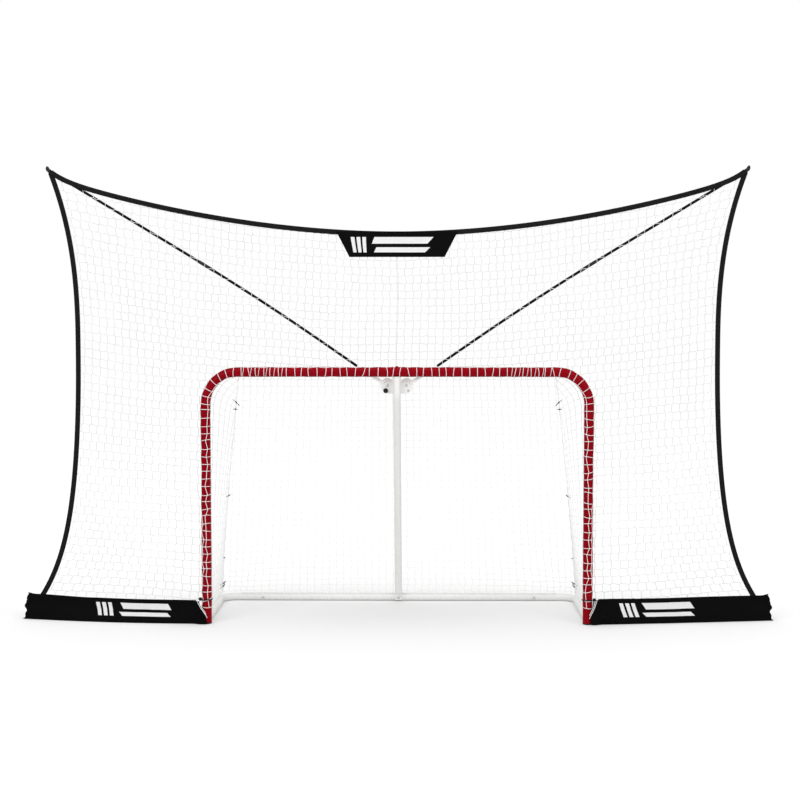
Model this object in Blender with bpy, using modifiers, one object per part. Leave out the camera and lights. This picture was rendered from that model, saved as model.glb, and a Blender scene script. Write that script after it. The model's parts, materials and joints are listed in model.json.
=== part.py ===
"""Full-size hockey goal with a surround backstop net, built piece by piece.

Metres, +Z up, the goal's mouth faces -Y. The origin lies on the floor under the middle of the whole
object. Right-hand pieces (+X) are modelled, and the left-hand ones are their mirror images.
"""

import math

import bmesh
import bpy
from mathutils import Matrix, Vector
from mathutils.geometry import delaunay_2d_cdt

# ---- fits -------------------------------------------------------------------------------------
GAP = 0.0003  # between pieces that touch
SWEEP_GAP = 0.0012  # between the corner pocket and the edge it swings away from
SIDES = 16  # facets round a large tube
ROD_SIDES = 12  # facets round a pole, a bolt or a hole

# ---- red hoop ---------------------------------------------------------------------------------
MOUTH_WIDTH = 1.829
MOUTH_HEIGHT = 1.219
HOOP_TUBE = 0.048  # outer diameter
HOOP_WALL = 0.002
HOOP_BEND = 0.160  # radius of the tube's centre line at the top corners
HOOP_STUB = 0.100  # straight crossbar run on each post
FOOT_CAP_HEIGHT = 0.006
FOOT_PLUG_HEIGHT = 0.008

# ---- white base -------------------------------------------------------------------------------
FRAME_DEPTH = 0.634  # front of the hoop to the back of the base
BASE_TUBE = 0.038
BASE_WALL = 0.002
BASE_BEND = 0.076
REAR_SPLICE_INSET = 0.2485  # from a post's axis to the splice in the rear tube
SPLICE_LENGTH = 0.060  # how far a reduced tube end goes in
PLUG_LENGTH = 0.030  # solid plugs that bolts screw into

# ---- centre post ------------------------------------------------------------------------------
POST_TUBE = 0.038
POST_UPRIGHT = 0.095  # upright run under the crossbar
POST_BEND_RUN = 0.022  # how far the bend reaches from its corner
POST_BEND_STEPS = 3
TAB_THICKNESS = 0.004
TAB_WIDTH = 0.034
TAB_TOP = 0.076
TAB_BOTTOM = 0.006
POST_END_Z = 0.055

# ---- arm bracket and arms ---------------------------------------------------------------------
PIVOT_X = 0.048
PIVOT_DROP = 0.044  # pivots under the top of the mouth
ARM_SET_BACK = 0.046  # poles' plane behind the hoop's plane
BRACKET_PLATE = 0.004
BRACKET_STEM_WIDTH = 0.028
BRACKET_LOBE = 0.017  # round the pivot
LOCK_LOBE = 0.013  # round the lock screw
LOCK_DROP = 0.026  # lock screw below the pivot
LOCK_OUT = 0.008  # lock screw outside the pivot
QUADRANT_RADIUS = 0.036
QUADRANT_PLATE = 0.005
ARM_DROP_DEG = 20.0  # how far an arm swings down
SLOT_SPARE_DEG = 3.0
SOCKET_DIAMETER = 0.019
SOCKET_END = 0.176  # along the arm, from the pivot
SOCKET_DEPTH = 0.090  # how far the pole goes in
POLE_DIAMETER = 0.012
POLE_JOINT = 1.060  # where the two poles of an arm meet
FERRULE_LENGTH = 0.090
FERRULE_WALL = 0.0018
POCKET_LENGTH = 0.075
POCKET_WALL = 0.0018
TIP_LENGTH = 0.036
TIP_RADIUS = 0.0095

# ---- bolts ------------------------------------------------------------------------------------
BOLT_RADIUS = 0.004
BOLT_HEAD_RADIUS = 0.0075
BOLT_HEAD_HEIGHT = 0.004
BOLT_REACH = 0.024  # past the outside of the tube it goes into
LOCK_RADIUS = 0.003
KNOB_RADIUS = 0.0125
KNOB_LOBE_DEPTH = 0.0022
KNOB_LOBES = 5
KNOB_HEIGHT = 0.013

# ---- backstop outline, in the plane of the net ------------------------------------------------
CORNER_X = 1.695
TOP_MIDDLE_Z = 1.915
TOP_RISE = 0.271  # even curve of the top edge
TOP_POWER = 1.9
CORNER_FLICK = 0.034  # sharp rise at the poles' tips
FLICK_POWER = 24
WAIST_X = 1.568
WAIST_Z = 1.380
UPPER_POWER = 2.5
LOWER_FLARE = 0.140
LOWER_POWER = 2.5
HEM_FLARE = 0.064
HEM_POWER = 7
BINDING_WIDTH = 0.025
BINDING_THICKNESS = 0.004
EDGE_SET_BACK = 0.036  # binding's plane behind the hoop's plane
EDGE_STEPS = 14

# ---- banner -----------------------------------------------------------------------------------
BANNER_TOP_WIDTH = 0.594
BANNER_BOTTOM_WIDTH = 0.465
BANNER_HEIGHT = 0.125
BANNER_THICKNESS = 0.002

# ---- ground arms ------------------------------------------------------------------------------
SLEEVE_HEIGHT = 0.127
SLEEVE_LENGTH = 0.880
SLEEVE_START = 0.016  # from the hinge pin
SLEEVE_BULGE = 0.044
SLEEVE_FOOT = 0.034
SLEEVE_TOP = 0.007
SWEEP_DEG = 7.0  # ground arms lean back by this much
GROUND_TUBE = 0.025
GROUND_TUBE_WALL = 0.0015
GROUND_TUBE_Z = 0.030
GROUND_TUBE_LENGTH = 0.850
TUBE_CAP_HEAD = 0.004
TUBE_CAP_PLUG = 0.015
PIN_RADIUS = 0.004
BARREL_RADIUS = 0.010
BARREL_HEIGHT = 0.0224
LUG_THICKNESS = 0.004
HINGE_GAP = 0.002  # barrel to the bracket's back

# ---- nets -------------------------------------------------------------------------------------
MESH = 0.155  # pitch of the coarse net
STRAND = 0.005
STRAND_THICKNESS = 0.003
NET_BORDER = 0.008
SMALLEST_GAP = 0.12  # a gap smaller than this share of a full one is closed
NET_SET_BACK = 0.060  # goal net's top edge behind the hoop's plane
SEAM_POWER = 1.15  # how early the goal net's rear seams lean in
SEAM_STRAIGHT_STEPS = 5  # beside the post
SEAM_BEND_STEPS = 6  # beside its bend

# ---- places worked out from the sizes ---------------------------------------------------------
HOOP_RADIUS = HOOP_TUBE / 2
BASE_RADIUS = BASE_TUBE / 2
POST_RADIUS = POST_TUBE / 2
POLE_RADIUS = POLE_DIAMETER / 2
HOOP_X = MOUTH_WIDTH / 2 + HOOP_RADIUS
HOOP_Z = MOUTH_HEIGHT + HOOP_RADIUS
OVERALL_DEPTH = FRAME_DEPTH + BOLT_HEAD_HEIGHT + GAP
HOOP_Y = -OVERALL_DEPTH / 2 + BOLT_HEAD_HEIGHT + GAP + HOOP_RADIUS
REAR_Y = OVERALL_DEPTH / 2 - BASE_RADIUS
BEND_X = HOOP_X - HOOP_BEND
REAR_SPLICE_X = HOOP_X - REAR_SPLICE_INSET
BEND_Z = HOOP_Z - HOOP_BEND
CROSSBAR_END_X = BEND_X - HOOP_STUB
OUTSIDE_X = HOOP_X + HOOP_RADIUS
OUTSIDE_Z = HOOP_Z + HOOP_RADIUS
ARM_Y = HOOP_Y + ARM_SET_BACK
CORNER_Z = TOP_MIDDLE_Z + TOP_RISE + CORNER_FLICK
PIVOT_Z = MOUTH_HEIGHT - PIVOT_DROP
PIVOT = Vector((PIVOT_X, PIVOT_Z))
ARM_VECTOR = Vector((CORNER_X, CORNER_Z)) - PIVOT
ARM_LENGTH = ARM_VECTOR.length
ARM_ANGLE = math.atan2(ARM_VECTOR.y, ARM_VECTOR.x)
POCKET_START = ARM_LENGTH - POCKET_LENGTH
LOCK = Vector((PIVOT_X + LOCK_OUT, PIVOT_Z - LOCK_DROP))
PLATE_BACK = ARM_Y - QUADRANT_PLATE / 2 - GAP
PLATE_FRONT = PLATE_BACK - BRACKET_PLATE
HINGE_X = OUTSIDE_X + GAP + LUG_THICKNESS + HINGE_GAP + BARREL_RADIUS
SWEEP = math.radians(SWEEP_DEG)
BASE_TOP = BASE_TUBE + GAP

X_AXIS = Vector((1, 0, 0))
Y_AXIS = Vector((0, 1, 0))
Z_AXIS = Vector((0, 0, 1))


def new_collection(name):
    """Makes a collection in the scene."""
    made = bpy.data.collections.new(name)
    bpy.context.scene.collection.children.link(made)
    return made


def clear_scene():
    """Removes whatever the scene holds."""
    for old in list(bpy.data.objects):
        bpy.data.objects.remove(old, do_unlink=True)


clear_scene()
GOAL = new_collection("hockey_goal")
CUTTERS = new_collection("cutters")


def material(name, color, roughness, metallic=0.0):
    """A plain Principled material."""
    made = bpy.data.materials.new(name)
    made.use_nodes = True
    shader = made.node_tree.nodes["Principled BSDF"]
    shader.inputs["Base Color"].default_value = (*color, 1)
    shader.inputs["Roughness"].default_value = roughness
    shader.inputs["Metallic"].default_value = metallic
    made.diffuse_color = (*color, 1)
    return made


RED_PAINT = material("red_paint", (0.42, 0.004, 0.012), 0.35)
WHITE_PAINT = material("white_paint", (0.80, 0.80, 0.78), 0.40)
GREY_STEEL = material("grey_steel", (0.55, 0.56, 0.56), 0.35, 0.9)
BLACK_PLASTIC = material("black_plastic", (0.012, 0.012, 0.013), 0.45)
BLACK_FIBREGLASS = material("black_fibreglass", (0.015, 0.015, 0.016), 0.30)
BLACK_CLOTH = material("black_cloth", (0.010, 0.010, 0.011), 0.85)
WHITE_TWINE = material("white_twine", (0.80, 0.80, 0.79), 0.80)


# ---- modelling tools --------------------------------------------------------------------------
def evaluated_mesh(obj):
    """The object's mesh with its modifiers applied, in its own space."""
    graph = bpy.context.evaluated_depsgraph_get()
    return bpy.data.meshes.new_from_object(obj.evaluated_get(graph))


def add_object(name, mesh, finish, collection=GOAL):
    """Puts a mesh in the scene with one material."""
    mesh.materials.clear()
    if finish:
        mesh.materials.append(finish)
    made = bpy.data.objects.new(name, mesh)
    collection.objects.link(made)
    return made


def tidy_mesh(mesh, place=None):
    """Welds a mesh, moves each point through place, and turns its faces outwards."""
    work = bmesh.new()
    work.from_mesh(mesh)
    bmesh.ops.remove_doubles(work, verts=work.verts, dist=1e-6)
    if place:
        for vertex in work.verts:
            vertex.co = place(*vertex.co)
    bmesh.ops.recalc_face_normals(work, faces=work.faces)
    if work.calc_volume(signed=True) < 0:
        bmesh.ops.reverse_faces(work, faces=work.faces)
    work.to_mesh(mesh)
    work.free()
    mesh.shade_smooth()
    mesh.set_sharp_from_angle(angle=math.radians(40))
    return mesh


def mesh_of_curve(curve, place=None):
    """Makes a curve a welded mesh and removes the curve."""
    holder = bpy.data.objects.new("holder", curve)
    CUTTERS.objects.link(holder)
    mesh = tidy_mesh(evaluated_mesh(holder), place)
    bpy.data.objects.remove(holder, do_unlink=True)
    return mesh


def polyline(curve, points, cyclic=False):
    """Adds a POLY spline through the points."""
    spline = curve.splines.new("POLY")
    spline.points.add(len(points) - 1)
    for knot, point in zip(spline.points, points):
        knot.co = (*point, *([0] * (3 - len(point))), 1)
    spline.use_cyclic_u = cyclic


def tube_mesh(points, radius, wall=0.0, sides=SIDES):
    """A round tube along the points, solid or with a wall and open ends."""
    curve = bpy.data.curves.new("tube", "CURVE")
    curve.dimensions = "3D"
    curve.bevel_depth = radius
    curve.bevel_resolution = (sides - 4) // 2
    curve.use_fill_caps = wall == 0
    polyline(curve, points)
    mesh = mesh_of_curve(curve)
    if not wall:
        return mesh
    holder = add_object("holder", mesh, None, CUTTERS)
    shell = holder.modifiers.new("wall", "SOLIDIFY")
    shell.thickness = wall
    shell.offset = -1
    shell.use_even_offset = True
    hollow = tidy_mesh(evaluated_mesh(holder))
    bpy.data.objects.remove(holder, do_unlink=True)
    return hollow


def turned_mesh(profile, at, direction, sides=ROD_SIDES):
    """A turned solid: profile holds (radius, height along direction), closed on itself or on the axis."""
    ring = profile[0][0] > 0
    points = [(radius, 0, height) for radius, height in profile]
    edges = [(n, n + 1) for n in range(len(points) - 1)]
    if ring:
        edges.append((len(points) - 1, 0))
    outline = bpy.data.meshes.new("outline")
    outline.from_pydata(points, edges, [])
    holder = add_object("holder", outline, None, CUTTERS)
    turn = holder.modifiers.new("turn", "SCREW")
    turn.axis = "Z"
    turn.steps = sides
    turn.render_steps = sides
    turn.use_merge_vertices = True
    turn.merge_threshold = 1e-5
    mesh = evaluated_mesh(holder)
    bpy.data.objects.remove(holder, do_unlink=True)
    turned = Vector(direction).to_track_quat("Z", "Y").to_matrix().to_4x4()
    mesh.transform(Matrix.Translation(at) @ turned)
    return tidy_mesh(mesh)


def plate_mesh(loops, thickness, place):
    """A flat outline with holes, as thick as asked, set in space by place(u, v, w)."""
    curve = bpy.data.curves.new("plate", "CURVE")
    curve.dimensions = "2D"
    curve.fill_mode = "BOTH"
    curve.extrude = thickness / 2
    for loop in loops:
        polyline(curve, loop, cyclic=True)
    return mesh_of_curve(curve, place)


def boolean(obj, mesh, operation):
    """Cuts a mesh from the object, or joins it on, with a live Boolean."""
    tool = add_object(f"{obj.name}_{operation.lower()}", mesh, None, CUTTERS)
    tool.hide_render = True
    tool.display_type = "WIRE"
    change = obj.modifiers.new(tool.name, "BOOLEAN")
    change.operation = operation
    change.solver = "EXACT"
    change.object = tool


def cut(obj, mesh):
    boolean(obj, mesh, "DIFFERENCE")


def join(obj, mesh):
    boolean(obj, mesh, "UNION")


def rod_mesh(radius, start, end, sides=ROD_SIDES):
    """A solid round rod from start to end."""
    span = Vector(end) - Vector(start)
    return turned_mesh([(0, span.length), (radius, span.length), (radius, 0), (0, 0)], start, span, sides)


def bore(radius, sides=ROD_SIDES):
    """Radius of a faceted hole that clears a faceted rod of this radius however they are turned."""
    return (radius + GAP) / math.cos(math.pi / sides)


def inside(radius, sides=SIDES):
    """Radius of a rod that fits a faceted bore of this radius."""
    return radius * math.cos(math.pi / sides) - GAP


def arc(center, radius, start_deg, end_deg, steps):
    """Points on an arc in a plane."""
    spread = [math.radians(start_deg + (end_deg - start_deg) * n / steps) for n in range(steps + 1)]
    return [(center[0] + radius * math.cos(a), center[1] + radius * math.sin(a)) for a in spread]


def carried_by(obj, pivot):
    """Parents a moving piece to the empty on its joint's axis."""
    obj.parent = pivot
    obj.matrix_parent_inverse = pivot.matrix_world.inverted()


def pivot_empty(name, at):
    """An empty on a joint's axis."""
    made = bpy.data.objects.new(name, None)
    made.location = at
    made.empty_display_size = 0.05
    GOAL.objects.link(made)
    bpy.context.view_layer.update()
    return made


def mirrored(obj, pivot=None):
    """The left-hand twin of a right-hand piece."""
    mesh = evaluated_mesh(obj)
    mesh.transform(Matrix.Diagonal((-1, 1, 1, 1)))
    mesh.flip_normals()
    twin = add_object(obj.name.replace("right", "left"), mesh, obj.active_material)
    if pivot:
        carried_by(twin, pivot)
    return twin


def bolt_profile(length, head_radius=BOLT_HEAD_RADIUS, radius=BOLT_RADIUS, head=BOLT_HEAD_HEIGHT):
    """Domed head above height 0, shank below it."""
    return [
        (0, head),
        (head_radius * 0.55, head * 0.9),
        (head_radius * 0.9, head * 0.45),
        (head_radius, 0),
        (radius, 0),
        (radius, -length),
        (0, -length),
    ]


def bolt(name, seat, direction, length, finish):
    """A bolt whose head seats at the point and looks along direction."""
    lift = Vector(direction) * GAP
    return add_object(name, turned_mesh(bolt_profile(length), Vector(seat) + lift, direction), finish)


def bolt_hole(seat, direction, length):
    """The cutter for a bolt's clearance hole."""
    seat = Vector(seat)
    away = Vector(direction).normalized()
    return rod_mesh(bore(BOLT_RADIUS), seat + away * BOLT_HEAD_HEIGHT, seat - away * (length + GAP))


# ---- hoop and base ----------------------------------------------------------------------------
CROSSBAR_BOLT_SEAT = (CROSSBAR_END_X + SPLICE_LENGTH / 2, HOOP_Y + HOOP_RADIUS, HOOP_Z)
BASE_BOLT_SEAT = (HOOP_X, HOOP_Y - HOOP_RADIUS, BASE_RADIUS)
BASE_BOLT_LENGTH = HOOP_TUBE + PLUG_LENGTH * 0.8
REAR_BOLT_SEAT = (REAR_SPLICE_X + SPLICE_LENGTH / 2, REAR_Y - BASE_RADIUS, BASE_RADIUS)
POST_BOLT_SEAT = (0, HOOP_Y, OUTSIDE_Z)
POST_BOLT_LENGTH = HOOP_TUBE + PLUG_LENGTH * 0.8
TAB_FRONT = REAR_Y - BASE_RADIUS - GAP - TAB_THICKNESS
TAB_BOLT_SEAT = (0, TAB_FRONT, BASE_RADIUS)


def hoop_post():
    """Red post with its top bend and a short crossbar run."""
    path = [(HOOP_X, HOOP_Y, FOOT_CAP_HEIGHT + GAP), (HOOP_X, HOOP_Y, BEND_Z * 0.5)]
    path += [(x, HOOP_Y, z) for x, z in arc((BEND_X, BEND_Z), HOOP_BEND, 0, 90, 8)]
    path.append((CROSSBAR_END_X, HOOP_Y, HOOP_Z))
    post = add_object("right_post", tube_mesh(path, HOOP_RADIUS, HOOP_WALL), RED_PAINT)
    cut(post, bolt_hole(BASE_BOLT_SEAT, -Y_AXIS, BASE_BOLT_LENGTH))
    cut(post, bolt_hole(CROSSBAR_BOLT_SEAT, Y_AXIS, BOLT_REACH))
    return post


def reduced_tube(name, half, radius, wall, y, z, end_gap, finish):
    """Straight tube across the goal whose two ends are reduced to slide into their neighbours."""
    spigot = inside(radius - wall)
    bore_radius = spigot - wall
    run = half - end_gap
    tip = run + SPLICE_LENGTH
    profile = [
        (bore_radius, tip), (spigot, tip), (spigot, run), (radius, run),
        (radius, -run), (spigot, -run), (spigot, -tip), (bore_radius, -tip),
    ]
    return add_object(name, turned_mesh(profile, (0, y, z), X_AXIS, SIDES), finish)


def foot_cap():
    """Black cap that the post stands in, with a plug inside the tube."""
    rim = HOOP_RADIUS
    plug = inside(HOOP_RADIUS - HOOP_WALL)
    top = FOOT_CAP_HEIGHT + FOOT_PLUG_HEIGHT
    profile = [(0, top), (plug, top), (plug, FOOT_CAP_HEIGHT), (rim, FOOT_CAP_HEIGHT), (rim, 0), (0, 0)]
    mesh = turned_mesh(profile, (HOOP_X, HOOP_Y, 0), Z_AXIS, SIDES)
    return add_object("right_foot_cap", mesh, BLACK_PLASTIC)


def base_tube():
    """White tube from the post's foot back round the rear corner."""
    start = HOOP_Y + HOOP_RADIUS + GAP
    corner = (HOOP_X - BASE_BEND, REAR_Y - BASE_BEND)
    path = [(HOOP_X, start, BASE_RADIUS)]
    path += [(x, y, BASE_RADIUS) for x, y in arc(corner, BASE_BEND, 0, 90, 6)]
    path.append((REAR_SPLICE_X, REAR_Y, BASE_RADIUS))
    tube = add_object("right_base_tube", tube_mesh(path, BASE_RADIUS, BASE_WALL), WHITE_PAINT)
    plug_radius = BASE_RADIUS - BASE_WALL / 2
    plug_start = Vector((HOOP_X, start + BASE_WALL / 4, BASE_RADIUS))
    join(tube, rod_mesh(plug_radius, plug_start, plug_start + Y_AXIS * PLUG_LENGTH, SIDES))
    cut(tube, bolt_hole(BASE_BOLT_SEAT, -Y_AXIS, BASE_BOLT_LENGTH))
    cut(tube, bolt_hole(REAR_BOLT_SEAT, -Y_AXIS, BOLT_REACH))
    return tube


def centre_post():
    """White post: upright under the crossbar, then slanting back to a tab on the rear tube."""
    top = MOUTH_HEIGHT - GAP
    knee = top - POST_UPRIGHT
    end_y = TAB_FRONT - POST_RADIUS + TAB_THICKNESS
    lean = math.atan2(end_y - HOOP_Y, knee - POST_END_Z)
    radius = POST_BEND_RUN / math.tan(lean / 2)
    path = [(0, HOOP_Y, top)]
    for n in range(POST_BEND_STEPS + 1):
        turn = lean * n / POST_BEND_STEPS
        height = knee + POST_BEND_RUN - radius * math.sin(turn)
        path.append((0, HOOP_Y + radius * (1 - math.cos(turn)), height))
    path.append((0, end_y, POST_END_Z))
    post = add_object("centre_post", tube_mesh(path, POST_RADIUS, BASE_WALL), WHITE_PAINT)
    plug_top = Vector((0, HOOP_Y, top - BASE_WALL / 4))
    join(post, rod_mesh(POST_RADIUS - BASE_WALL / 2, plug_top, plug_top - Z_AXIS * PLUG_LENGTH, SIDES))
    half = TAB_WIDTH / 2
    outline = [(-half, TAB_BOTTOM), (half, TAB_BOTTOM), (half, TAB_TOP), (-half, TAB_TOP)]
    middle = TAB_FRONT + TAB_THICKNESS / 2
    join(post, plate_mesh([outline], TAB_THICKNESS, lambda u, v, w: (u, middle + w, v)))
    cut(post, bolt_hole(POST_BOLT_SEAT, Z_AXIS, POST_BOLT_LENGTH))
    cut(post, bolt_hole(TAB_BOLT_SEAT, -Y_AXIS, BOLT_REACH))
    return post


# ---- arm bracket and arms ---------------------------------------------------------------------
def at_pivot(radius, angle):
    """Point in the arms' plane, by distance and angle from the right pivot."""
    return PIVOT + Vector((math.cos(angle), math.sin(angle))) * radius


def along_arm(distance):
    """Point on the right pole's axis."""
    x, z = at_pivot(distance, ARM_ANGLE)
    return Vector((x, ARM_Y, z))


def arm_bracket():
    """Plate with an ear at each side, on a stem behind the centre post."""
    right = arc(LOCK, LOCK_LOBE, -90, 0, 4) + arc(PIVOT, BRACKET_LOBE, 0, 90, 4)
    left = [(-x, z) for x, z in reversed(right)]
    middle = (PLATE_BACK + PLATE_FRONT) / 2
    plate = plate_mesh([right + left], BRACKET_PLATE, lambda u, v, w: (u, middle + w, v))
    bracket = add_object("arm_bracket", plate, WHITE_PAINT)
    stem_front = HOOP_Y + POST_RADIUS + GAP
    stem_back = PLATE_FRONT + BRACKET_PLATE / 2
    half = BRACKET_STEM_WIDTH / 2
    low = LOCK.y
    outline = [(-half, low), (half, low), (half, PIVOT_Z), (-half, PIVOT_Z)]
    stem_middle = (stem_front + stem_back) / 2
    stem = plate_mesh([outline], stem_back - stem_front, lambda u, v, w: (u, stem_middle + w, v))
    join(bracket, stem)
    for side in (-1, 1):
        for point, radius in ((PIVOT, BOLT_RADIUS), (LOCK, LOCK_RADIUS)):
            start = (side * point.x, PLATE_FRONT - BOLT_HEAD_HEIGHT, point.y)
            end = (side * point.x, PLATE_BACK + BOLT_HEAD_HEIGHT, point.y)
            cut(bracket, rod_mesh(bore(radius), start, end))
    return bracket


def arm_socket():
    """Socket tube with the slotted quadrant plate that turns on the pivot bolt."""
    start = QUADRANT_RADIUS * 0.5
    span = SOCKET_END - start
    floor = span - SOCKET_DEPTH
    radius = SOCKET_DIAMETER / 2
    hole = bore(POLE_RADIUS)
    profile = [(0, floor), (hole, floor), (hole, span), (radius, span), (radius, 0), (0, 0)]
    direction = along_arm(1) - along_arm(0)
    socket = add_object("right_arm_socket", turned_mesh(profile, along_arm(start), direction), WHITE_PAINT)
    disc = arc(PIVOT, QUADRANT_RADIUS, 0, 345, 23)
    slot = slot_outline()
    hub = arc(PIVOT, bore(BOLT_RADIUS), 0, 330, 11)
    join(socket, plate_mesh([disc], QUADRANT_PLATE, lambda u, v, w: (u, ARM_Y + w, v)))
    for outline in (slot, hub):
        cut(socket, plate_mesh([outline], QUADRANT_PLATE * 5, lambda u, v, w: (u, ARM_Y + w, v)))
    return socket


def slot_outline():
    """Curved slot that runs past the lock screw while the arm drops."""
    reach = (LOCK - PIVOT).length
    begin = math.degrees(math.atan2(-LOCK_DROP, LOCK_OUT)) - SLOT_SPARE_DEG
    end = begin + ARM_DROP_DEG + 2 * SLOT_SPARE_DEG
    half = bore(LOCK_RADIUS) + GAP
    outer = arc(PIVOT, reach + half, begin, end, 6)
    inner = arc(PIVOT, reach - half, end, begin, 6)
    cap_end = arc(at_pivot(reach, math.radians(end)), half, end, end + 180, 6)[1:-1]
    cap_begin = arc(at_pivot(reach, math.radians(begin)), half, begin + 180, begin + 360, 6)[1:-1]
    return outer + cap_end + inner + cap_begin


def pole(name, start, end):
    """Round pole between two distances along the arm."""
    return add_object(name, rod_mesh(POLE_RADIUS, along_arm(start), along_arm(end)), BLACK_FIBREGLASS)


def ferrule():
    """Sleeve over the joint of the two poles."""
    hole = bore(POLE_RADIUS)
    outer = hole + FERRULE_WALL
    profile = [(hole, FERRULE_LENGTH), (outer, FERRULE_LENGTH), (outer, 0), (hole, 0)]
    start = along_arm(POLE_JOINT - FERRULE_LENGTH / 2)
    direction = along_arm(1) - along_arm(0)
    return add_object("right_pole_ferrule", turned_mesh(profile, start, direction), BLACK_PLASTIC)


def pole_tip():
    """Rounded cap on the pole's end, with a neck for the corner loop."""
    seat = ARM_LENGTH + GAP
    profile = [
        (0, TIP_LENGTH), (TIP_RADIUS * 0.6, TIP_LENGTH * 0.95), (TIP_RADIUS, TIP_LENGTH * 0.75),
        (TIP_RADIUS, TIP_LENGTH * 0.5), (TIP_RADIUS * 0.72, TIP_LENGTH * 0.4),
        (TIP_RADIUS * 0.72, TIP_LENGTH * 0.2), (TIP_RADIUS, TIP_LENGTH * 0.1), (TIP_RADIUS, 0),
        (bore(POLE_RADIUS), 0), (bore(POLE_RADIUS), TIP_LENGTH * 0.3), (0, TIP_LENGTH * 0.3),
    ]
    direction = along_arm(1) - along_arm(0)
    return add_object("right_pole_tip", turned_mesh(profile, along_arm(seat), direction), BLACK_PLASTIC)


def pivot_bolt():
    """Bolt through the bracket and the quadrant plate, with its nut behind."""
    head_seat = PLATE_FRONT - GAP
    back = ARM_Y + QUADRANT_PLATE / 2 + GAP
    span = back - head_seat
    nut = BOLT_HEAD_HEIGHT
    profile = bolt_profile(span)[:-2] + [
        (BOLT_RADIUS, -span), (BOLT_HEAD_RADIUS, -span), (BOLT_HEAD_RADIUS, -span - nut), (0, -span - nut),
    ]
    seat = (PIVOT_X, head_seat, PIVOT_Z)
    return add_object("right_pivot_bolt", turned_mesh(profile, seat, -Y_AXIS), GREY_STEEL)


def lock_bolt():
    """Lock screw of the right arm."""
    seat = (LOCK.x, PLATE_FRONT - GAP, LOCK.y)
    length = ARM_Y + QUADRANT_PLATE / 2 + BOLT_HEAD_HEIGHT - PLATE_FRONT
    profile = bolt_profile(length, BOLT_HEAD_RADIUS * 0.8, LOCK_RADIUS)
    return add_object("right_lock_bolt", turned_mesh(profile, seat, -Y_AXIS), GREY_STEEL)


def lock_knob():
    """Star knob of the left arm, on its own screw."""
    at = Vector((-LOCK.x, 0, LOCK.y))
    steps = KNOB_LOBES * 8
    outline = []
    for n in range(steps):
        angle = 2 * math.pi * n / steps
        radius = KNOB_RADIUS - KNOB_LOBE_DEPTH * (0.5 - 0.5 * math.cos(KNOB_LOBES * angle))
        outline.append((at.x + radius * math.cos(angle), at.z + radius * math.sin(angle)))
    front = PLATE_FRONT - GAP - KNOB_HEIGHT
    middle = front + KNOB_HEIGHT / 2
    knob = add_object(
        "left_lock_knob",
        plate_mesh([outline], KNOB_HEIGHT, lambda u, v, w: (u, middle + w, v)),
        BLACK_PLASTIC,
    )
    screw_end = ARM_Y + QUADRANT_PLATE / 2 + BOLT_HEAD_HEIGHT
    join(knob, rod_mesh(LOCK_RADIUS, (at.x, middle, at.z), (at.x, screw_end, at.z)))
    return knob


# ---- backstop outline -------------------------------------------------------------------------
def top_edge(x):
    """Height of the top binding's middle."""
    share = abs(x) / CORNER_X
    return TOP_MIDDLE_Z + TOP_RISE * share**TOP_POWER + CORNER_FLICK * share**FLICK_POWER


def side_edge(z):
    """Half width of the backstop at a height, to the binding's middle."""
    if z >= WAIST_Z:
        share = (z - WAIST_Z) / (CORNER_Z - WAIST_Z)
        return WAIST_X + (CORNER_X - WAIST_X) * share**UPPER_POWER
    share = (WAIST_Z - z) / (WAIST_Z - SLEEVE_HEIGHT)
    return WAIST_X + LOWER_FLARE * share**LOWER_POWER + HEM_FLARE * share**HEM_POWER


def edge_set_back(z):
    """How far the side binding lies behind the hoop's plane."""
    reach = side_edge(SLEEVE_HEIGHT) - HINGE_X
    swept = math.tan(SWEEP) * reach
    share = max(0.0, (BEND_Z - z) / (BEND_Z - SLEEVE_HEIGHT))
    return EDGE_SET_BACK + (swept - EDGE_SET_BACK) * share**2


def net_set_back(x, z):
    """How far the backstop net lies behind the hoop's plane: nothing at the hoop, most at the edge."""
    out = (abs(x) - OUTSIDE_X) / (side_edge(z) - OUTSIDE_X)
    up = (z - OUTSIDE_Z) / (top_edge(x) - OUTSIDE_Z)
    return edge_set_back(z) * min(1.0, max(out, up, 0.0))


def offset_line(points, distance):
    """The points moved sideways, to the left of their run."""
    moved = []
    for n, point in enumerate(points):
        before = Vector(points[max(n - 1, 0)])
        after = Vector(points[min(n + 1, len(points) - 1)])
        run = (after - before).normalized()
        moved.append((point[0] - run.y * distance, point[1] + run.x * distance))
    return moved


def top_line():
    """Middle of the top binding from corner to corner, with its points closer near the corners."""
    spread = [CORNER_X * math.sin(math.pi / 2 * n / EDGE_STEPS) for n in range(-EDGE_STEPS, EDGE_STEPS + 1)]
    return [(x, top_edge(x)) for x in spread]


def side_line():
    """Middle of the right side binding, upwards."""
    rise = (CORNER_Z - SLEEVE_HEIGHT) / EDGE_STEPS
    heights = [SLEEVE_HEIGHT + rise * n for n in range(EDGE_STEPS + 1)]
    return [(side_edge(z), z) for z in heights]


def clipped(loop, normal, limit):
    """The part of a loop whose points have normal . point at or under the limit."""
    kept = []
    for n, point in enumerate(loop):
        after = loop[(n + 1) % len(loop)]
        here = normal[0] * point[0] + normal[1] * point[1] - limit
        there = normal[0] * after[0] + normal[1] * after[1] - limit
        if here <= 0:
            kept.append(point)
        if here * there < 0:
            share = here / (here - there)
            kept.append(tuple(a + (b - a) * share for a, b in zip(point, after)))
    return kept


def root_side_of_pocket(loop):
    """Clips a loop where the right corner pocket begins."""
    normal = (math.cos(ARM_ANGLE), math.sin(ARM_ANGLE))
    return clipped(loop, normal, PIVOT.dot(Vector(normal)) + POCKET_START - SWEEP_GAP)


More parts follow.
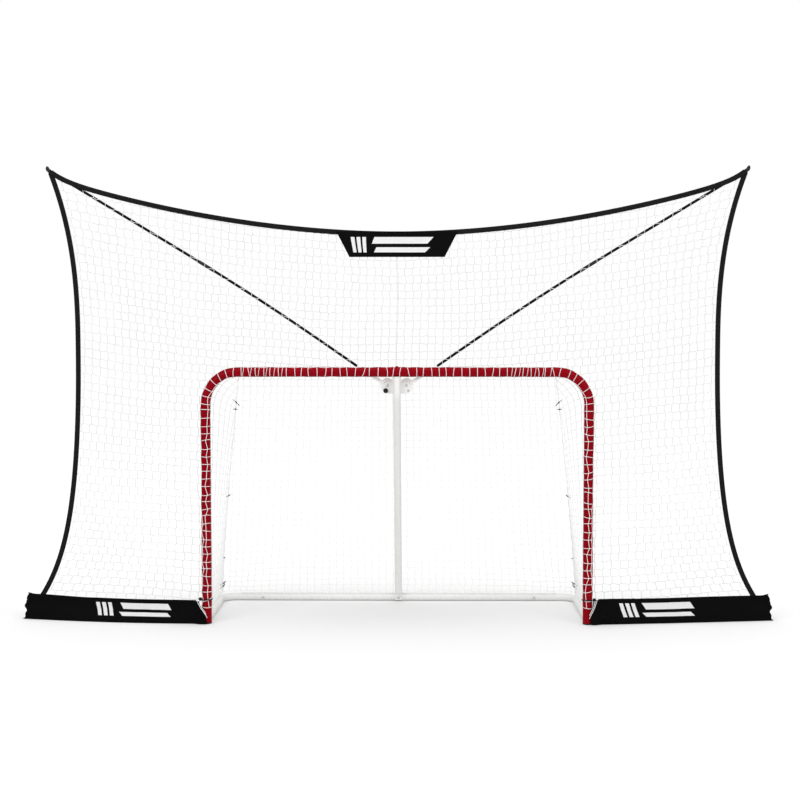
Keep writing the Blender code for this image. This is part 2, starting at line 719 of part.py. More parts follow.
def pocket_side(loop):
    """Clips a loop to the part that the right corner pocket covers."""
    normal = (-math.cos(ARM_ANGLE), -math.sin(ARM_ANGLE))
    return clipped(loop, normal, PIVOT.dot(Vector(normal)) - POCKET_START)


def in_edge_plane(u, v, w):
    """Places a point of the binding, which lies in the edge's own surface."""
    return (u, HOOP_Y + edge_set_back(v) + w, v)


def top_binding():
    """Black webbing along the top edge."""
    half = BINDING_WIDTH / 2
    line = top_line()
    loop = root_side_of_pocket(offset_line(line, half) + offset_line(line, -half)[::-1])
    loop = root_side_of_pocket([(-x, z) for x, z in loop])
    mesh = plate_mesh([loop], BINDING_THICKNESS, lambda u, v, w: (u, HOOP_Y + EDGE_SET_BACK + w, v))
    return add_object("top_binding", mesh, BLACK_CLOTH)


def side_binding():
    """Black webbing down the right edge."""
    half = BINDING_WIDTH / 2
    line = side_line()
    loop = offset_line(line, half) + offset_line(line, -half)[::-1]
    loop = root_side_of_pocket(clipped(loop, (0, -1), -SLEEVE_HEIGHT - GAP))
    mesh = plate_mesh([loop], BINDING_THICKNESS, in_edge_plane)
    return add_object("right_side_binding", mesh, BLACK_CLOTH)


def corner_pocket():
    """Webbing corner with the sleeve that holds the pole's end."""
    half = BINDING_WIDTH / 2
    top = [p for p in offset_line(top_line(), half) if p[0] > 0]
    side = [p for p in offset_line(side_line(), -half) if p[1] > WAIST_Z]
    loop = pocket_side(top + side[::-1])
    back = ARM_Y - POLE_RADIUS
    front = HOOP_Y + EDGE_SET_BACK - BINDING_THICKNESS / 2
    middle = (front + back) / 2
    patch = plate_mesh([loop], back - front - GAP, lambda u, v, w: (u, middle + w, v))
    pocket = add_object("right_corner_pocket", patch, BLACK_CLOTH)
    hole = bore(POLE_RADIUS)
    outer = hole + POCKET_WALL
    length = POCKET_LENGTH - GAP
    direction = along_arm(1) - along_arm(0)
    start = along_arm(POCKET_START + GAP)
    sleeve = turned_mesh([(0, length), (outer, length), (outer, 0), (0, 0)], start, direction)
    join(pocket, sleeve)
    cut(pocket, rod_mesh(hole, along_arm(POCKET_START - length), along_arm(ARM_LENGTH + length)))
    cut(pocket, rod_mesh(bore(TIP_RADIUS), along_arm(ARM_LENGTH + GAP / 2), along_arm(ARM_LENGTH + length)))
    return pocket


def banner():
    """Black cloth tab that hangs from the middle of the top binding, in front of the net."""
    top = top_edge(0) + BINDING_WIDTH / 2
    bottom = top - BANNER_HEIGHT
    wide = BANNER_TOP_WIDTH / 2
    narrow = BANNER_BOTTOM_WIDTH / 2
    loop = [(-wide, top), (-narrow, bottom), (narrow, bottom), (wide, top)]
    half = BANNER_THICKNESS / 2
    front = EDGE_SET_BACK - BINDING_THICKNESS / 2 - GAP - half
    lift = STRAND_THICKNESS / 2 + 2 * GAP + half

    def place(u, v, w):
        return (u, HOOP_Y + min(front, net_set_back(u, v) - lift) + w, v)

    return add_object("banner", plate_mesh([loop], BANNER_THICKNESS, place), BLACK_CLOTH)


# ---- ground arms ------------------------------------------------------------------------------
def on_wing(along, across, z):
    """Point of the right ground arm: along it from the hinge pin, and across it towards the back."""
    x = HINGE_X + along * math.cos(SWEEP) - across * math.sin(SWEEP)
    y = HOOP_Y + along * math.sin(SWEEP) + across * math.cos(SWEEP)
    return Vector((x, y, z))


def ground_bracket():
    """C-shaped bracket on the post's foot, whose two lugs hold the hinge pin."""
    low = GROUND_TUBE_Z - BARREL_HEIGHT / 2 - GAP
    high = GROUND_TUBE_Z + BARREL_HEIGHT / 2 + GAP
    back = OUTSIDE_X + GAP
    web = back + LUG_THICKNESS
    tip = HINGE_X + BARREL_RADIUS
    loop = [
        (back, low - LUG_THICKNESS), (tip, low - LUG_THICKNESS), (tip, low), (web, low),
        (web, high), (tip, high), (tip, high + LUG_THICKNESS), (back, high + LUG_THICKNESS),
    ]
    mesh = plate_mesh([loop], BARREL_RADIUS * 2, lambda u, v, w: (u, HOOP_Y + w, v))
    bracket = add_object("right_ground_bracket", mesh, RED_PAINT)
    cut(bracket, rod_mesh(bore(PIN_RADIUS), (HINGE_X, HOOP_Y, 0), (HINGE_X, HOOP_Y, high * 2)))
    return bracket


def hinge_pin():
    """Upright pin through the bracket's lugs and the ground arm's barrel."""
    low = GROUND_TUBE_Z - BARREL_HEIGHT / 2 - LUG_THICKNESS
    high = GROUND_TUBE_Z + BARREL_HEIGHT / 2 + GAP + LUG_THICKNESS
    profile = bolt_profile(high - low, BOLT_HEAD_RADIUS, PIN_RADIUS, BOLT_HEAD_HEIGHT * 0.8)
    seat = (HINGE_X, HOOP_Y, high + GAP)
    return add_object("right_hinge_pin", turned_mesh(profile, seat, Z_AXIS), GREY_STEEL)


def ground_tube():
    """Steel tube of the ground arm, with its hinge barrel."""
    radius = GROUND_TUBE / 2
    start = on_wing(BARREL_RADIUS * 0.7, 0, GROUND_TUBE_Z)
    end = on_wing(GROUND_TUBE_LENGTH, 0, GROUND_TUBE_Z)
    clear = BARREL_HEIGHT / 2
    tube = add_object(
        "right_ground_tube",
        tube_mesh([start, end], min(radius, clear), GROUND_TUBE_WALL, ROD_SIDES),
        GREY_STEEL,
    )
    foot = (HINGE_X, HOOP_Y, GROUND_TUBE_Z - clear)
    join(tube, rod_mesh(BARREL_RADIUS, foot, Vector(foot) + Z_AXIS * BARREL_HEIGHT))
    cut(tube, rod_mesh(bore(PIN_RADIUS), (HINGE_X, HOOP_Y, 0), (HINGE_X, HOOP_Y, GROUND_TUBE_Z * 2)))
    return tube


def tube_cap():
    """Plastic plug in the ground tube's outer end."""
    radius = min(GROUND_TUBE, BARREL_HEIGHT) / 2
    plug = inside(radius - GROUND_TUBE_WALL, ROD_SIDES)
    head, end = TUBE_CAP_HEAD, -TUBE_CAP_PLUG
    profile = [(0, head), (radius, head), (radius, GAP), (plug, GAP), (plug, end), (0, end)]
    seat = on_wing(GROUND_TUBE_LENGTH, 0, GROUND_TUBE_Z)
    direction = on_wing(1, 0, 0) - on_wing(0, 0, 0)
    return add_object("right_ground_tube_cap", turned_mesh(profile, seat, direction), BLACK_PLASTIC)


def ground_sleeve():
    """Black cloth sleeve round the ground tube, narrow at its top seam and open at both ends."""
    foot, bulge, seam = SLEEVE_FOOT / 2, SLEEVE_BULGE / 2, SLEEVE_TOP / 2
    half = [
        (foot, 0), (bulge, GROUND_TUBE_Z * 0.45), (bulge, GROUND_TUBE_Z * 1.15),
        (bulge * 0.66, SLEEVE_HEIGHT * 0.52), (seam * 1.5, SLEEVE_HEIGHT * 0.8), (seam, SLEEVE_HEIGHT),
    ]
    loop = half + [(-u, v) for u, v in reversed(half)]
    tube_radius = min(GROUND_TUBE, BARREL_HEIGHT) / 2
    hole = arc((0, GROUND_TUBE_Z), bore(tube_radius), 15, 345, 11)
    middle = SLEEVE_START + SLEEVE_LENGTH / 2
    mesh = plate_mesh([loop, hole], SLEEVE_LENGTH, lambda u, v, w: on_wing(middle + w, u, v))
    return add_object("right_ground_sleeve", mesh, BLACK_CLOTH)


# ---- nets -------------------------------------------------------------------------------------
def loop_area(loop):
    """Signed area of a loop."""
    pairs = zip(loop, loop[1:] + loop[:1])
    return sum(a[0] * b[1] - b[0] * a[1] for a, b in pairs) / 2


def shrunk(loop, distance):
    """The loop moved inwards, corner by corner."""
    turn = 1 if loop_area(loop) > 0 else -1
    moved = []
    for n, point in enumerate(loop):
        here = Vector(point)
        run_in = (here - Vector(loop[n - 1])).normalized()
        run_out = (Vector(loop[(n + 1) % len(loop)]) - here).normalized()
        middle = Vector((-run_in.y - run_out.y, run_in.x + run_out.x)) * turn
        normal_in = Vector((-run_in.y, run_in.x)) * turn
        reach = middle.normalized().dot(normal_in)
        moved.append(tuple(here + middle.normalized() * distance / max(reach, 0.35)))
    return moved


def distinct(loop, least):
    """The loop without points that lie closer together than least."""
    kept = []
    for point in loop:
        if not kept or (Vector(point) - Vector(kept[-1])).length > least:
            kept.append(point)
    while len(kept) > 2 and (Vector(kept[0]) - Vector(kept[-1])).length <= least:
        kept.pop()
    return kept


def encloses(loop, point):
    """Whether a loop goes round the point, by the edges that a level ray from it crosses."""
    crossed = False
    for a, b in zip(loop, loop[1:] + loop[:1]):
        if (a[1] > point[1]) != (b[1] > point[1]):
            reach = a[0] + (b[0] - a[0]) * (point[1] - a[1]) / (b[1] - a[1])
            crossed ^= reach > point[0]
    return crossed


def filled(loops):
    """Points and triangles that fill the first loop outside the others, all of them near to equal-sided."""
    points = []
    edges = []
    for loop in loops:
        first = len(points)
        points += [Vector(point) for point in loop]
        edges += [(first + n, first + (n + 1) % len(loop)) for n in range(len(loop))]
    spots, _, faces = delaunay_2d_cdt(points, edges, [], 1, 1e-7)[:3]
    kept = []
    for face in faces:
        middle = sum((spots[n] for n in face), Vector((0, 0))) / len(face)
        if not any(encloses(hole, middle) for hole in loops[1:]):
            kept.append(face)
    return spots, kept


def curved_plate_mesh(loops, thickness, place):
    """A plate with holes on a curved surface: its front, its back, and a wall along every open edge."""
    spots, triangles = filled(loops)
    solid = bmesh.new()
    half = thickness / 2
    front = [solid.verts.new(place(*spot, -half)) for spot in spots]
    back = [solid.verts.new(place(*spot, half)) for spot in spots]
    runs = set()
    for a, b, c in triangles:
        solid.faces.new((front[a], front[b], front[c]))
        solid.faces.new((back[c], back[b], back[a]))
        runs |= {(a, b), (b, c), (c, a)}
    for a, b in sorted(run for run in runs if run[::-1] not in runs):
        solid.faces.new((front[b], front[a], back[a], back[b]))
    loose = [vertex for vertex in solid.verts if not vertex.link_faces]
    bmesh.ops.delete(solid, geom=loose, context="VERTS")
    mesh = bpy.data.meshes.new("plate")
    solid.to_mesh(mesh)
    solid.free()
    return tidy_mesh(mesh)


def net_mesh(outline, place, start=(0.0, 0.0)):
    """A net inside the outline: a border all round and square gaps on a grid through start."""
    inner = shrunk(outline, NET_BORDER)
    lows = [min(p[axis] for p in inner) for axis in (0, 1)]
    highs = [max(p[axis] for p in inner) for axis in (0, 1)]
    first = [math.floor((lows[axis] - start[axis]) / MESH) for axis in (0, 1)]
    last = [math.ceil((highs[axis] - start[axis]) / MESH) for axis in (0, 1)]
    half = STRAND / 2
    least = SMALLEST_GAP * (MESH - STRAND) ** 2
    gaps = []
    for i in range(first[0], last[0]):
        for j in range(first[1], last[1]):
            u = start[0] + i * MESH
            v = start[1] + j * MESH
            gap = inner
            for normal, limit in (
                ((1, 0), u + MESH - half), ((-1, 0), -u - half),
                ((0, 1), v + MESH - half), ((0, -1), -v - half),
            ):
                gap = clipped(gap, normal, limit) if gap else gap
            gap = distinct(gap, STRAND / 2) if gap else gap
            if len(gap) > 2 and abs(loop_area(gap)) > least:
                gaps.append(gap)
    return curved_plate_mesh([outline] + gaps, STRAND_THICKNESS, place)


def on_backstop(u, v, w):
    """Places a point of the backstop net."""
    return (u, HOOP_Y + net_set_back(u, v) + w, v)


NET_EDGE = BINDING_WIDTH / 2 + GAP
EDGE_TOP = [p for p in offset_line(top_line(), -NET_EDGE) if p[0] >= -GAP]
EDGE_SIDE = offset_line(side_line(), NET_EDGE)


def backstop_upper():
    """Backstop net beside and above the hoop's top corner."""
    hoop = arc((BEND_X, BEND_Z), HOOP_BEND + HOOP_RADIUS + GAP, 0, 90, 8)
    hoop = [(max(x, BEND_X + GAP), max(z, BEND_Z + GAP)) for x, z in hoop]
    top = [p for p in EDGE_TOP if p[0] > BEND_X + STRAND]
    side = [p for p in EDGE_SIDE if p[1] > BEND_Z + STRAND]
    top = [p for p in top if p[0] < side_edge(p[1]) - NET_EDGE]
    side = [p for p in side if p[1] < top_edge(p[0]) - NET_EDGE]
    seam_top = (BEND_X + GAP, height_under_binding(BEND_X + GAP))
    seam_side = (width_inside_binding(BEND_Z + GAP), BEND_Z + GAP)
    loop = hoop + [seam_top] + top + side[::-1] + [seam_side]
    loop = root_side_of_pocket(loop)
    return add_object("right_backstop_upper_net", net_mesh(loop, on_backstop), WHITE_TWINE)


def height_under_binding(x):
    """Height of the net's top edge, under the binding."""
    near = min(range(len(EDGE_TOP) - 1), key=lambda n: abs(EDGE_TOP[n][0] - x))
    return between(EDGE_TOP, near, x, 0, 1)


def width_inside_binding(z):
    """Half width of the net inside the side binding."""
    near = min(range(len(EDGE_SIDE) - 1), key=lambda n: abs(EDGE_SIDE[n][1] - z))
    return between(EDGE_SIDE, near, z, 1, 0)


def between(line, near, value, by, wanted):
    """Reads a line at a value, between the two points beside it."""
    if line[near][by] > value and near:
        near -= 1
    a, b = line[near], line[near + 1]
    share = (value - a[by]) / (b[by] - a[by])
    return a[wanted] + (b[wanted] - a[wanted]) * share


def backstop_lower():
    """Backstop net beside the post, down to the ground sleeve."""
    bottom = SLEEVE_HEIGHT + GAP
    top = BEND_Z - GAP
    side = [p for p in EDGE_SIDE if bottom + STRAND < p[1] < top - STRAND]
    inner = OUTSIDE_X + GAP
    loop = [(inner, bottom), (width_inside_binding(bottom), bottom)] + side
    loop += [(width_inside_binding(top), top), (inner, top)]
    return add_object("right_backstop_lower_net", net_mesh(loop, on_backstop, (OUTSIDE_X, 0)), WHITE_TWINE)


def backstop_top():
    """Backstop net over the crossbar, notched round the centre post's top bolt."""
    edge = BEND_X - GAP
    low = OUTSIDE_Z + GAP
    top = [p for p in EDGE_TOP if p[0] < edge - STRAND]
    notch = BOLT_HEAD_RADIUS + 2 * GAP
    right = top + [(edge, height_under_binding(edge)), (edge, low), (notch, low)]
    right.append((notch, low + BOLT_HEAD_HEIGHT + GAP))
    left = [(-x, z) for x, z in reversed(right) if x > 0]
    loop = left + right
    return add_object("backstop_top_net", net_mesh(loop, on_backstop), WHITE_TWINE)


def goal_net_y(z):
    """Place of the goal's back net at a height: a slope from behind the crossbar to the rear tube."""
    start = HOOP_Y + NET_SET_BACK
    return start + (REAR_Y - start) * (HOOP_Z - z) / (HOOP_Z - BASE_TOP)


def seam_x(z):
    """Half width of the goal's back net: full at the base, drawn in to where the hoop's bend starts."""
    share = max(z - BASE_TOP, 0) / (HOOP_Z - BASE_TOP)
    return HOOP_X - HOOP_BEND * share**SEAM_POWER


def goal_back():
    """Back net of the goal, which slopes down to the rear tube and narrows towards the crossbar."""
    inset = STRAND_THICKNESS / 2 + GAP
    top = HOOP_Z - inset
    heights = [z for _, z, _ in map(along_hoop, seam_runs()) if z < top - NET_BORDER] + [top]
    right = [(seam_x(z) - inset, z) for z in heights]
    loop = right + [(-x, z) for x, z in reversed(right)]
    place = lambda u, v, w: (u, goal_net_y(v) + w, v)
    start = (-MESH / 2, BASE_TOP)
    return add_object("goal_back_net", net_mesh(loop, place, start), WHITE_TWINE)


def along_hoop(run):
    """Centre of the hoop tube by distance up it from the floor, and the direction that faces outwards."""
    if run <= BEND_Z:
        return HOOP_X, run, 0.0
    angle = (run - BEND_Z) / HOOP_BEND
    return BEND_X + HOOP_BEND * math.cos(angle), BEND_Z + HOOP_BEND * math.sin(angle), angle


def seam_runs():
    """Distances up the hoop that the seam has a point beside, up to the end of the bend."""
    straight = (BEND_Z - BASE_TOP) / SEAM_STRAIGHT_STEPS
    bend = HOOP_BEND * math.pi / 2 / SEAM_BEND_STEPS
    beside_post = [BASE_TOP + straight * n for n in range(SEAM_STRAIGHT_STEPS)]
    return beside_post + [BEND_Z + bend * n for n in range(SEAM_BEND_STEPS + 1)]


def side_edges(run):
    """Where the side net starts behind the hoop and ends on the seam, and the direction that it faces."""
    x, z, angle = along_hoop(run)
    front = Vector((x, HOOP_Y + HOOP_RADIUS + GAP, z))
    rear = Vector((seam_x(z), goal_net_y(z) + STRAND_THICKNESS / 2, z))
    across = rear - front
    slant = Vector((across.y * math.cos(angle), -across.x * math.cos(angle), across.y * math.sin(angle)))
    facing = slant.normalized()
    front.y += facing.y * STRAND_THICKNESS / 2
    return front, rear, facing


def goal_side():
    """Side net of the goal: level lines from the post and its bend back to the seam."""
    runs = seam_runs()
    widths = [(side_edges(run)[1] - side_edges(run)[0]).length for run in runs]
    loop = list(zip(widths, runs)) + [(0, run) for run in reversed(runs)]

    def place(u, v, w):
        front, rear, facing = side_edges(v)
        return front + (rear - front).normalized() * u + facing * w

    return add_object("right_goal_side_net", net_mesh(loop, place, (0, BASE_TOP)), WHITE_TWINE)


# ---- assembly ---------------------------------------------------------------------------------
def build_frame():
    """Hoop, base, centre post and their bolts."""
    crossbar = reduced_tube(
        "crossbar", CROSSBAR_END_X, HOOP_RADIUS, HOOP_WALL, HOOP_Y, HOOP_Z, GAP, RED_PAINT
    )
    rear = reduced_tube(
        "rear_base_tube", REAR_SPLICE_X, BASE_RADIUS, BASE_WALL, REAR_Y, BASE_RADIUS, GAP, WHITE_PAINT
    )
    cut(crossbar, bolt_hole(POST_BOLT_SEAT, Z_AXIS, POST_BOLT_LENGTH))
    cut(rear, bolt_hole(TAB_BOLT_SEAT, -Y_AXIS, BOLT_REACH))
    for side in (-1, 1):
        flip = Matrix.Diagonal((side, 1, 1, 1))
        cut(crossbar, bolt_hole(flip @ Vector(CROSSBAR_BOLT_SEAT), Y_AXIS, BOLT_REACH))
        cut(rear, bolt_hole(flip @ Vector(REAR_BOLT_SEAT), -Y_AXIS, BOLT_REACH))
    right = [
        hoop_post(),
        foot_cap(),
        base_tube(),
        bolt("right_crossbar_bolt", CROSSBAR_BOLT_SEAT, Y_AXIS, BOLT_REACH, RED_PAINT),
        bolt("right_base_bolt", BASE_BOLT_SEAT, -Y_AXIS, BASE_BOLT_LENGTH, RED_PAINT),
        bolt("right_rear_bolt", REAR_BOLT_SEAT, -Y_AXIS, BOLT_REACH, GREY_STEEL),
        ground_bracket(),
        hinge_pin(),
    ]
    centre_post()
    bolt("centre_post_top_bolt", POST_BOLT_SEAT, Z_AXIS, POST_BOLT_LENGTH, RED_PAINT)
    bolt("centre_post_foot_bolt", TAB_BOLT_SEAT, -Y_AXIS, BOLT_REACH, GREY_STEEL)
    for piece in right:
        mirrored(piece)


def build_arms():
    """Bracket, arms, lock screws and knob."""
    arm_bracket()
    pivots = {side: pivot_empty(f"{name}_arm_pivot", (side * PIVOT_X, ARM_Y, PIVOT_Z))
              for name, side in (("left", -1), ("right", 1))}
    bolts = pivot_bolt()
    mirrored(bolts)
    lock_bolt()
    knob = lock_knob()
    carried_by(knob, pivot_empty("knob_axis", (-LOCK.x, PLATE_FRONT, LOCK.y)))
    pole_end = ARM_LENGTH + TIP_LENGTH * 0.25
    pieces = [
        arm_socket(),
        pole("right_lower_pole", SOCKET_END - SOCKET_DEPTH + GAP, POLE_JOINT - GAP / 2),
        pole("right_upper_pole", POLE_JOINT + GAP / 2, pole_end),
        ferrule(),
        corner_pocket(),
        pole_tip(),
    ]
    for piece in pieces:
        carried_by(piece, pivots[1])
        mirrored(piece, pivots[-1])


def build_ground_arms():
    """Ground tubes in their cloth sleeves."""
    pivots = {side: pivot_empty(f"{name}_ground_pivot", (side * HINGE_X, HOOP_Y, GROUND_TUBE_Z))
              for name, side in (("left", -1), ("right", 1))}
    for piece in (ground_tube(), tube_cap(), ground_sleeve()):
        carried_by(piece, pivots[1])
        mirrored(piece, pivots[-1])


def build_nets():
    """Goal net, backstop net and its bindings and banner."""
    top_binding()
    banner()
    backstop_top()
    goal_back()
    for piece in (side_binding(), backstop_upper(), backstop_lower(), goal_side()):
        mirrored(piece)


build_frame()
build_arms()
build_ground_arms()
build_nets()
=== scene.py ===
"""Looks of a full-size hockey goal with a surround backstop net.

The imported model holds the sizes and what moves. This script dresses it: smooth tubes, knotted twine, webbing,
cloth, painted and moulded finishes, and a plain studio. Metres, +Z up, and the goal's mouth faces -Y.
"""

import json
import logging
import math
from collections.abc import Callable, Sequence
from dataclasses import dataclass
from enum import Enum

import bmesh
import bpy
import numpy as np
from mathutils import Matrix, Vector

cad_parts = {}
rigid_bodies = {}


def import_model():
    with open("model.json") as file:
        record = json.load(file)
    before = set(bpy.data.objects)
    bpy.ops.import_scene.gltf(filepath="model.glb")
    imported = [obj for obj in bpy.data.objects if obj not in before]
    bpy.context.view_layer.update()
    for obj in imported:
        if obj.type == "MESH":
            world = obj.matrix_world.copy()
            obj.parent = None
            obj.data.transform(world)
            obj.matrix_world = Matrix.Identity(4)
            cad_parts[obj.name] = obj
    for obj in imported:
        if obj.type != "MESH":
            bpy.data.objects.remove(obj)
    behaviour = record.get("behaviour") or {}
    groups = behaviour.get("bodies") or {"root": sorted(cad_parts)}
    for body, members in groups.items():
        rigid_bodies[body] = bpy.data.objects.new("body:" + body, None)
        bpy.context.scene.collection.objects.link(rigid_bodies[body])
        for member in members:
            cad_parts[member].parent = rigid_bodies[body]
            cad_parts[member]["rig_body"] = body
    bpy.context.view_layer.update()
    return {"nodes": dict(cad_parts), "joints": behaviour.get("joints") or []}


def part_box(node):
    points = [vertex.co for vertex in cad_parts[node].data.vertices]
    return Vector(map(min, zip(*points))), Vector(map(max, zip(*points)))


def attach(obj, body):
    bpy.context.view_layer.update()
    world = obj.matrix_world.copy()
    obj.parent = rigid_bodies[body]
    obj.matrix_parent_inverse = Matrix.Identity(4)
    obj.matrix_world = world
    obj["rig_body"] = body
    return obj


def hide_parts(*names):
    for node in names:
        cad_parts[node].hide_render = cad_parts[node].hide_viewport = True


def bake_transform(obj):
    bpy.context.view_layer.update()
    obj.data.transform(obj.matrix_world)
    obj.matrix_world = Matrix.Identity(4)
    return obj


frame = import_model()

LOG = logging.getLogger("hockey_goal")

X_AXIS = np.array([1.0, 0.0, 0.0])
Y_AXIS = np.array([0.0, 1.0, 0.0])
Z_AXIS = np.array([0.0, 0.0, 1.0])
MIRROR = np.array([-1.0, 1.0, 1.0])
ASKEW = np.array([0.3, 0.2, 0.1])  # a direction that no strand of the wrap runs along
NEAR_AXIS = 0.0001  # radius at which a turned piece's end closes
SHARP_ANGLE = math.radians(40)
FLAT_ANGLE = math.radians(0.5)
SAME_PLACE = 0.00001
INK_LAYER = (0.0012, 0.0009)  # how far the front and the back of printed ink lie off the cloth

Socket = bpy.types.NodeSocket
Material = bpy.types.Material
Array = np.ndarray
Pair = tuple[float, float]
Triple = tuple[float, float, float]
Formula = Callable[[Array], Array]


class Side(Enum):
    """A side of the goal, as someone facing its mouth sees it."""

    LEFT = -1
    RIGHT = 1

    @property
    def word(self) -> str:
        """The side's name in lower case, as the nodes' names start."""
        return self.name.lower()

    @property
    def arm(self) -> str:
        """The body that the pole of this side rides on."""
        return f"{self.word}_arm"

    @property
    def wing(self) -> str:
        """The body that the ground arm of this side rides on."""
        return f"{self.word}_wing"


# ---- shader node groups ----


class NodeTree:
    """A node tree being wired, in a material or in a group."""

    def __init__(self, tree: bpy.types.NodeTree) -> None:
        """Takes the tree that nodes are added to, a material's or a group's."""
        self.tree = tree

    def add(self, kind: str, settings: dict | None = None, **inputs: object) -> bpy.types.Node:
        """Adds a node.

        Args:
            kind: the node's bl_idname without its ShaderNode prefix.
            settings: the node's own properties.
            **inputs: values or output sockets by input name, with _ for a space.

        Returns:
            The node.
        """
        node = self.tree.nodes.new(f"ShaderNode{kind}")
        for name, value in (settings or {}).items():
            setattr(node, name, value)
        for name, value in inputs.items():
            self.feed(node, name.replace("_", " "), value)
        return node

    def feed(self, node: bpy.types.Node, name: str | int, value: object) -> None:
        """Sets an input or links a socket to it.

        Args:
            node: the node whose input is fed.
            name: the input's name or number.
            value: a number, a colour or an output socket.
        """
        target = node.inputs[name]
        if isinstance(value, Socket):
            self.tree.links.new(value, target)
        else:
            target.default_value = value

    def math(self, operation: str, first: object, second: object = 0.0, third: object = 0.0) -> Socket:
        """Adds a Math node and returns its output.

        Args:
            operation: the operation's name.
            first: the first value or socket.
            second: the second one.
            third: the third one, where the operation has it.

        Returns:
            The output socket.
        """
        node = self.add("Math", {"operation": operation})
        for number, value in enumerate((first, second, third)):
            self.feed(node, number, value)
        return node.outputs[0]

    def blend(self, share: object, first: object, second: object) -> Socket:
        """Mixes two colours.

        Args:
            share: how much of the second colour.
            first: the first colour or socket.
            second: the second one.

        Returns:
            The colour socket.
        """
        node = self.add("Mix", {"data_type": "RGBA", "clamp_factor": True})
        self.feed(node, 0, share)
        self.feed(node, 6, first)
        self.feed(node, 7, second)
        return node.outputs[2]

    def spread(self, value: object, low: float, high: float, to_low: float, to_high: float) -> Socket:
        """Maps a range of values to another one, clamped.

        Args:
            value: the socket to map.
            low: start of its range.
            high: end of its range.
            to_low: what the start becomes.
            to_high: what the end becomes.

        Returns:
            The mapped socket.
        """
        node = self.add("MapRange", {"clamp": True})
        for number, part in enumerate((value, low, high, to_low, to_high)):
            self.feed(node, number, part)
        return node.outputs[0]


def new_group(name: str, inputs: dict[str, float], outputs: dict[str, str]) -> tuple[NodeTree, dict]:
    """Starts a shader node group.

    Args:
        name: the group's name.
        inputs: the named values that it takes, with their defaults.
        outputs: the kind of socket of each thing that it puts out.

    Returns:
        The group's tree, and its input sockets by name.
    """
    group = bpy.data.node_groups.new(name, "ShaderNodeTree")
    for label, value in inputs.items():
        socket = group.interface.new_socket(name=label, in_out="INPUT", socket_type="NodeSocketFloat")
        socket.default_value = value
    for label, kind in outputs.items():
        group.interface.new_socket(name=label, in_out="OUTPUT", socket_type=kind)
    tree = NodeTree(group)
    entry = group.nodes.new("NodeGroupInput")
    return tree, {label: entry.outputs[label] for label in inputs}


def close_group(tree: NodeTree, **outputs: Socket) -> bpy.types.NodeTree:
    """Links what a group puts out.

    Args:
        tree: the group's tree.
        **outputs: a socket for each output's name.

    Returns:
        The finished group.
    """
    leave = tree.tree.nodes.new("NodeGroupOutput")
    for label, socket in outputs.items():
        tree.tree.links.new(socket, leave.inputs[label])
    return tree.tree


def clouds_group() -> bpy.types.NodeTree:
    """Patches of slow variation: two noises of unlike scale on Object coordinates.

    Returns:
        The group, with inputs Size (metres) and Contrast, and output Mask.
    """
    tree, given = new_group("clouds", {"Size": 0.2, "Contrast": 1.0}, {"Mask": "NodeSocketFloat"})
    place = tree.add("TexCoord").outputs["Object"]
    scale = tree.math("DIVIDE", 1.0, given["Size"])
    slow = tree.add("TexNoise", Vector=place, Scale=scale, Detail=3.0)
    quick = tree.add("TexNoise", Vector=place, Scale=tree.math("MULTIPLY", scale, 5.3), Detail=2.0)
    both = tree.math("MULTIPLY_ADD", quick.outputs[0], 0.35, tree.math("MULTIPLY", slow.outputs[0], 0.65))
    away = tree.math("MULTIPLY", tree.math("SUBTRACT", both, 0.5), given["Contrast"])
    mask = tree.math("MULTIPLY_ADD", away, 3.0, 0.5)
    return close_group(tree, Mask=tree.spread(mask, 0.0, 1.0, 0.0, 1.0))


def grain_group() -> bpy.types.NodeTree:
    """Fine grain such as orange peel or moulding texture: one noise on Object coordinates.

    Returns:
        The group, with input Size (metres) and output Height.
    """
    tree, given = new_group("grain", {"Size": 0.002}, {"Height": "NodeSocketFloat"})
    place = tree.add("TexCoord").outputs["Object"]
    noise = tree.add("TexNoise", Vector=place, Scale=tree.math("DIVIDE", 1.0, given["Size"]), Detail=2.0)
    return close_group(tree, Height=noise.outputs[0])


def weave_group() -> bpy.types.NodeTree:
    """Plain weave on the UV map in metres: |sin| threads over and under along both directions.

    Returns:
        The group, with inputs Warp and Weft (thread pitch in metres), and outputs Height and Mask.
    """
    tree, given = new_group(
        "weave", {"Warp": 0.002, "Weft": 0.001}, {"Height": "NodeSocketFloat", "Mask": "NodeSocketFloat"}
    )
    uv = tree.add("SeparateXYZ", Vector=tree.add("TexCoord").outputs["UV"])
    along = tree.math("DIVIDE", uv.outputs[0], given["Weft"])
    across = tree.math("DIVIDE", uv.outputs[1], given["Warp"])
    turn = tree.math("MULTIPLY", tree.math("FLOOR", across), 0.5)
    over = tree.math("SINE", tree.math("MULTIPLY", tree.math("ADD", along, turn), 2 * math.pi))
    round_thread = tree.math("SINE", tree.math("MULTIPLY", tree.math("FRACT", across), math.pi))
    height = tree.math("MULTIPLY_ADD", over, 0.35, round_thread)
    # Mask is the threads' height from 0 to 1; the finishes paint with it a highlight on thread tops and shade
    # in the hollows
    mask = tree.spread(height, -0.35, 1.35, 0.0, 1.0)
    return close_group(tree, Height=height, Mask=mask)


GROUPS = {"clouds": clouds_group(), "grain": grain_group(), "weave": weave_group()}


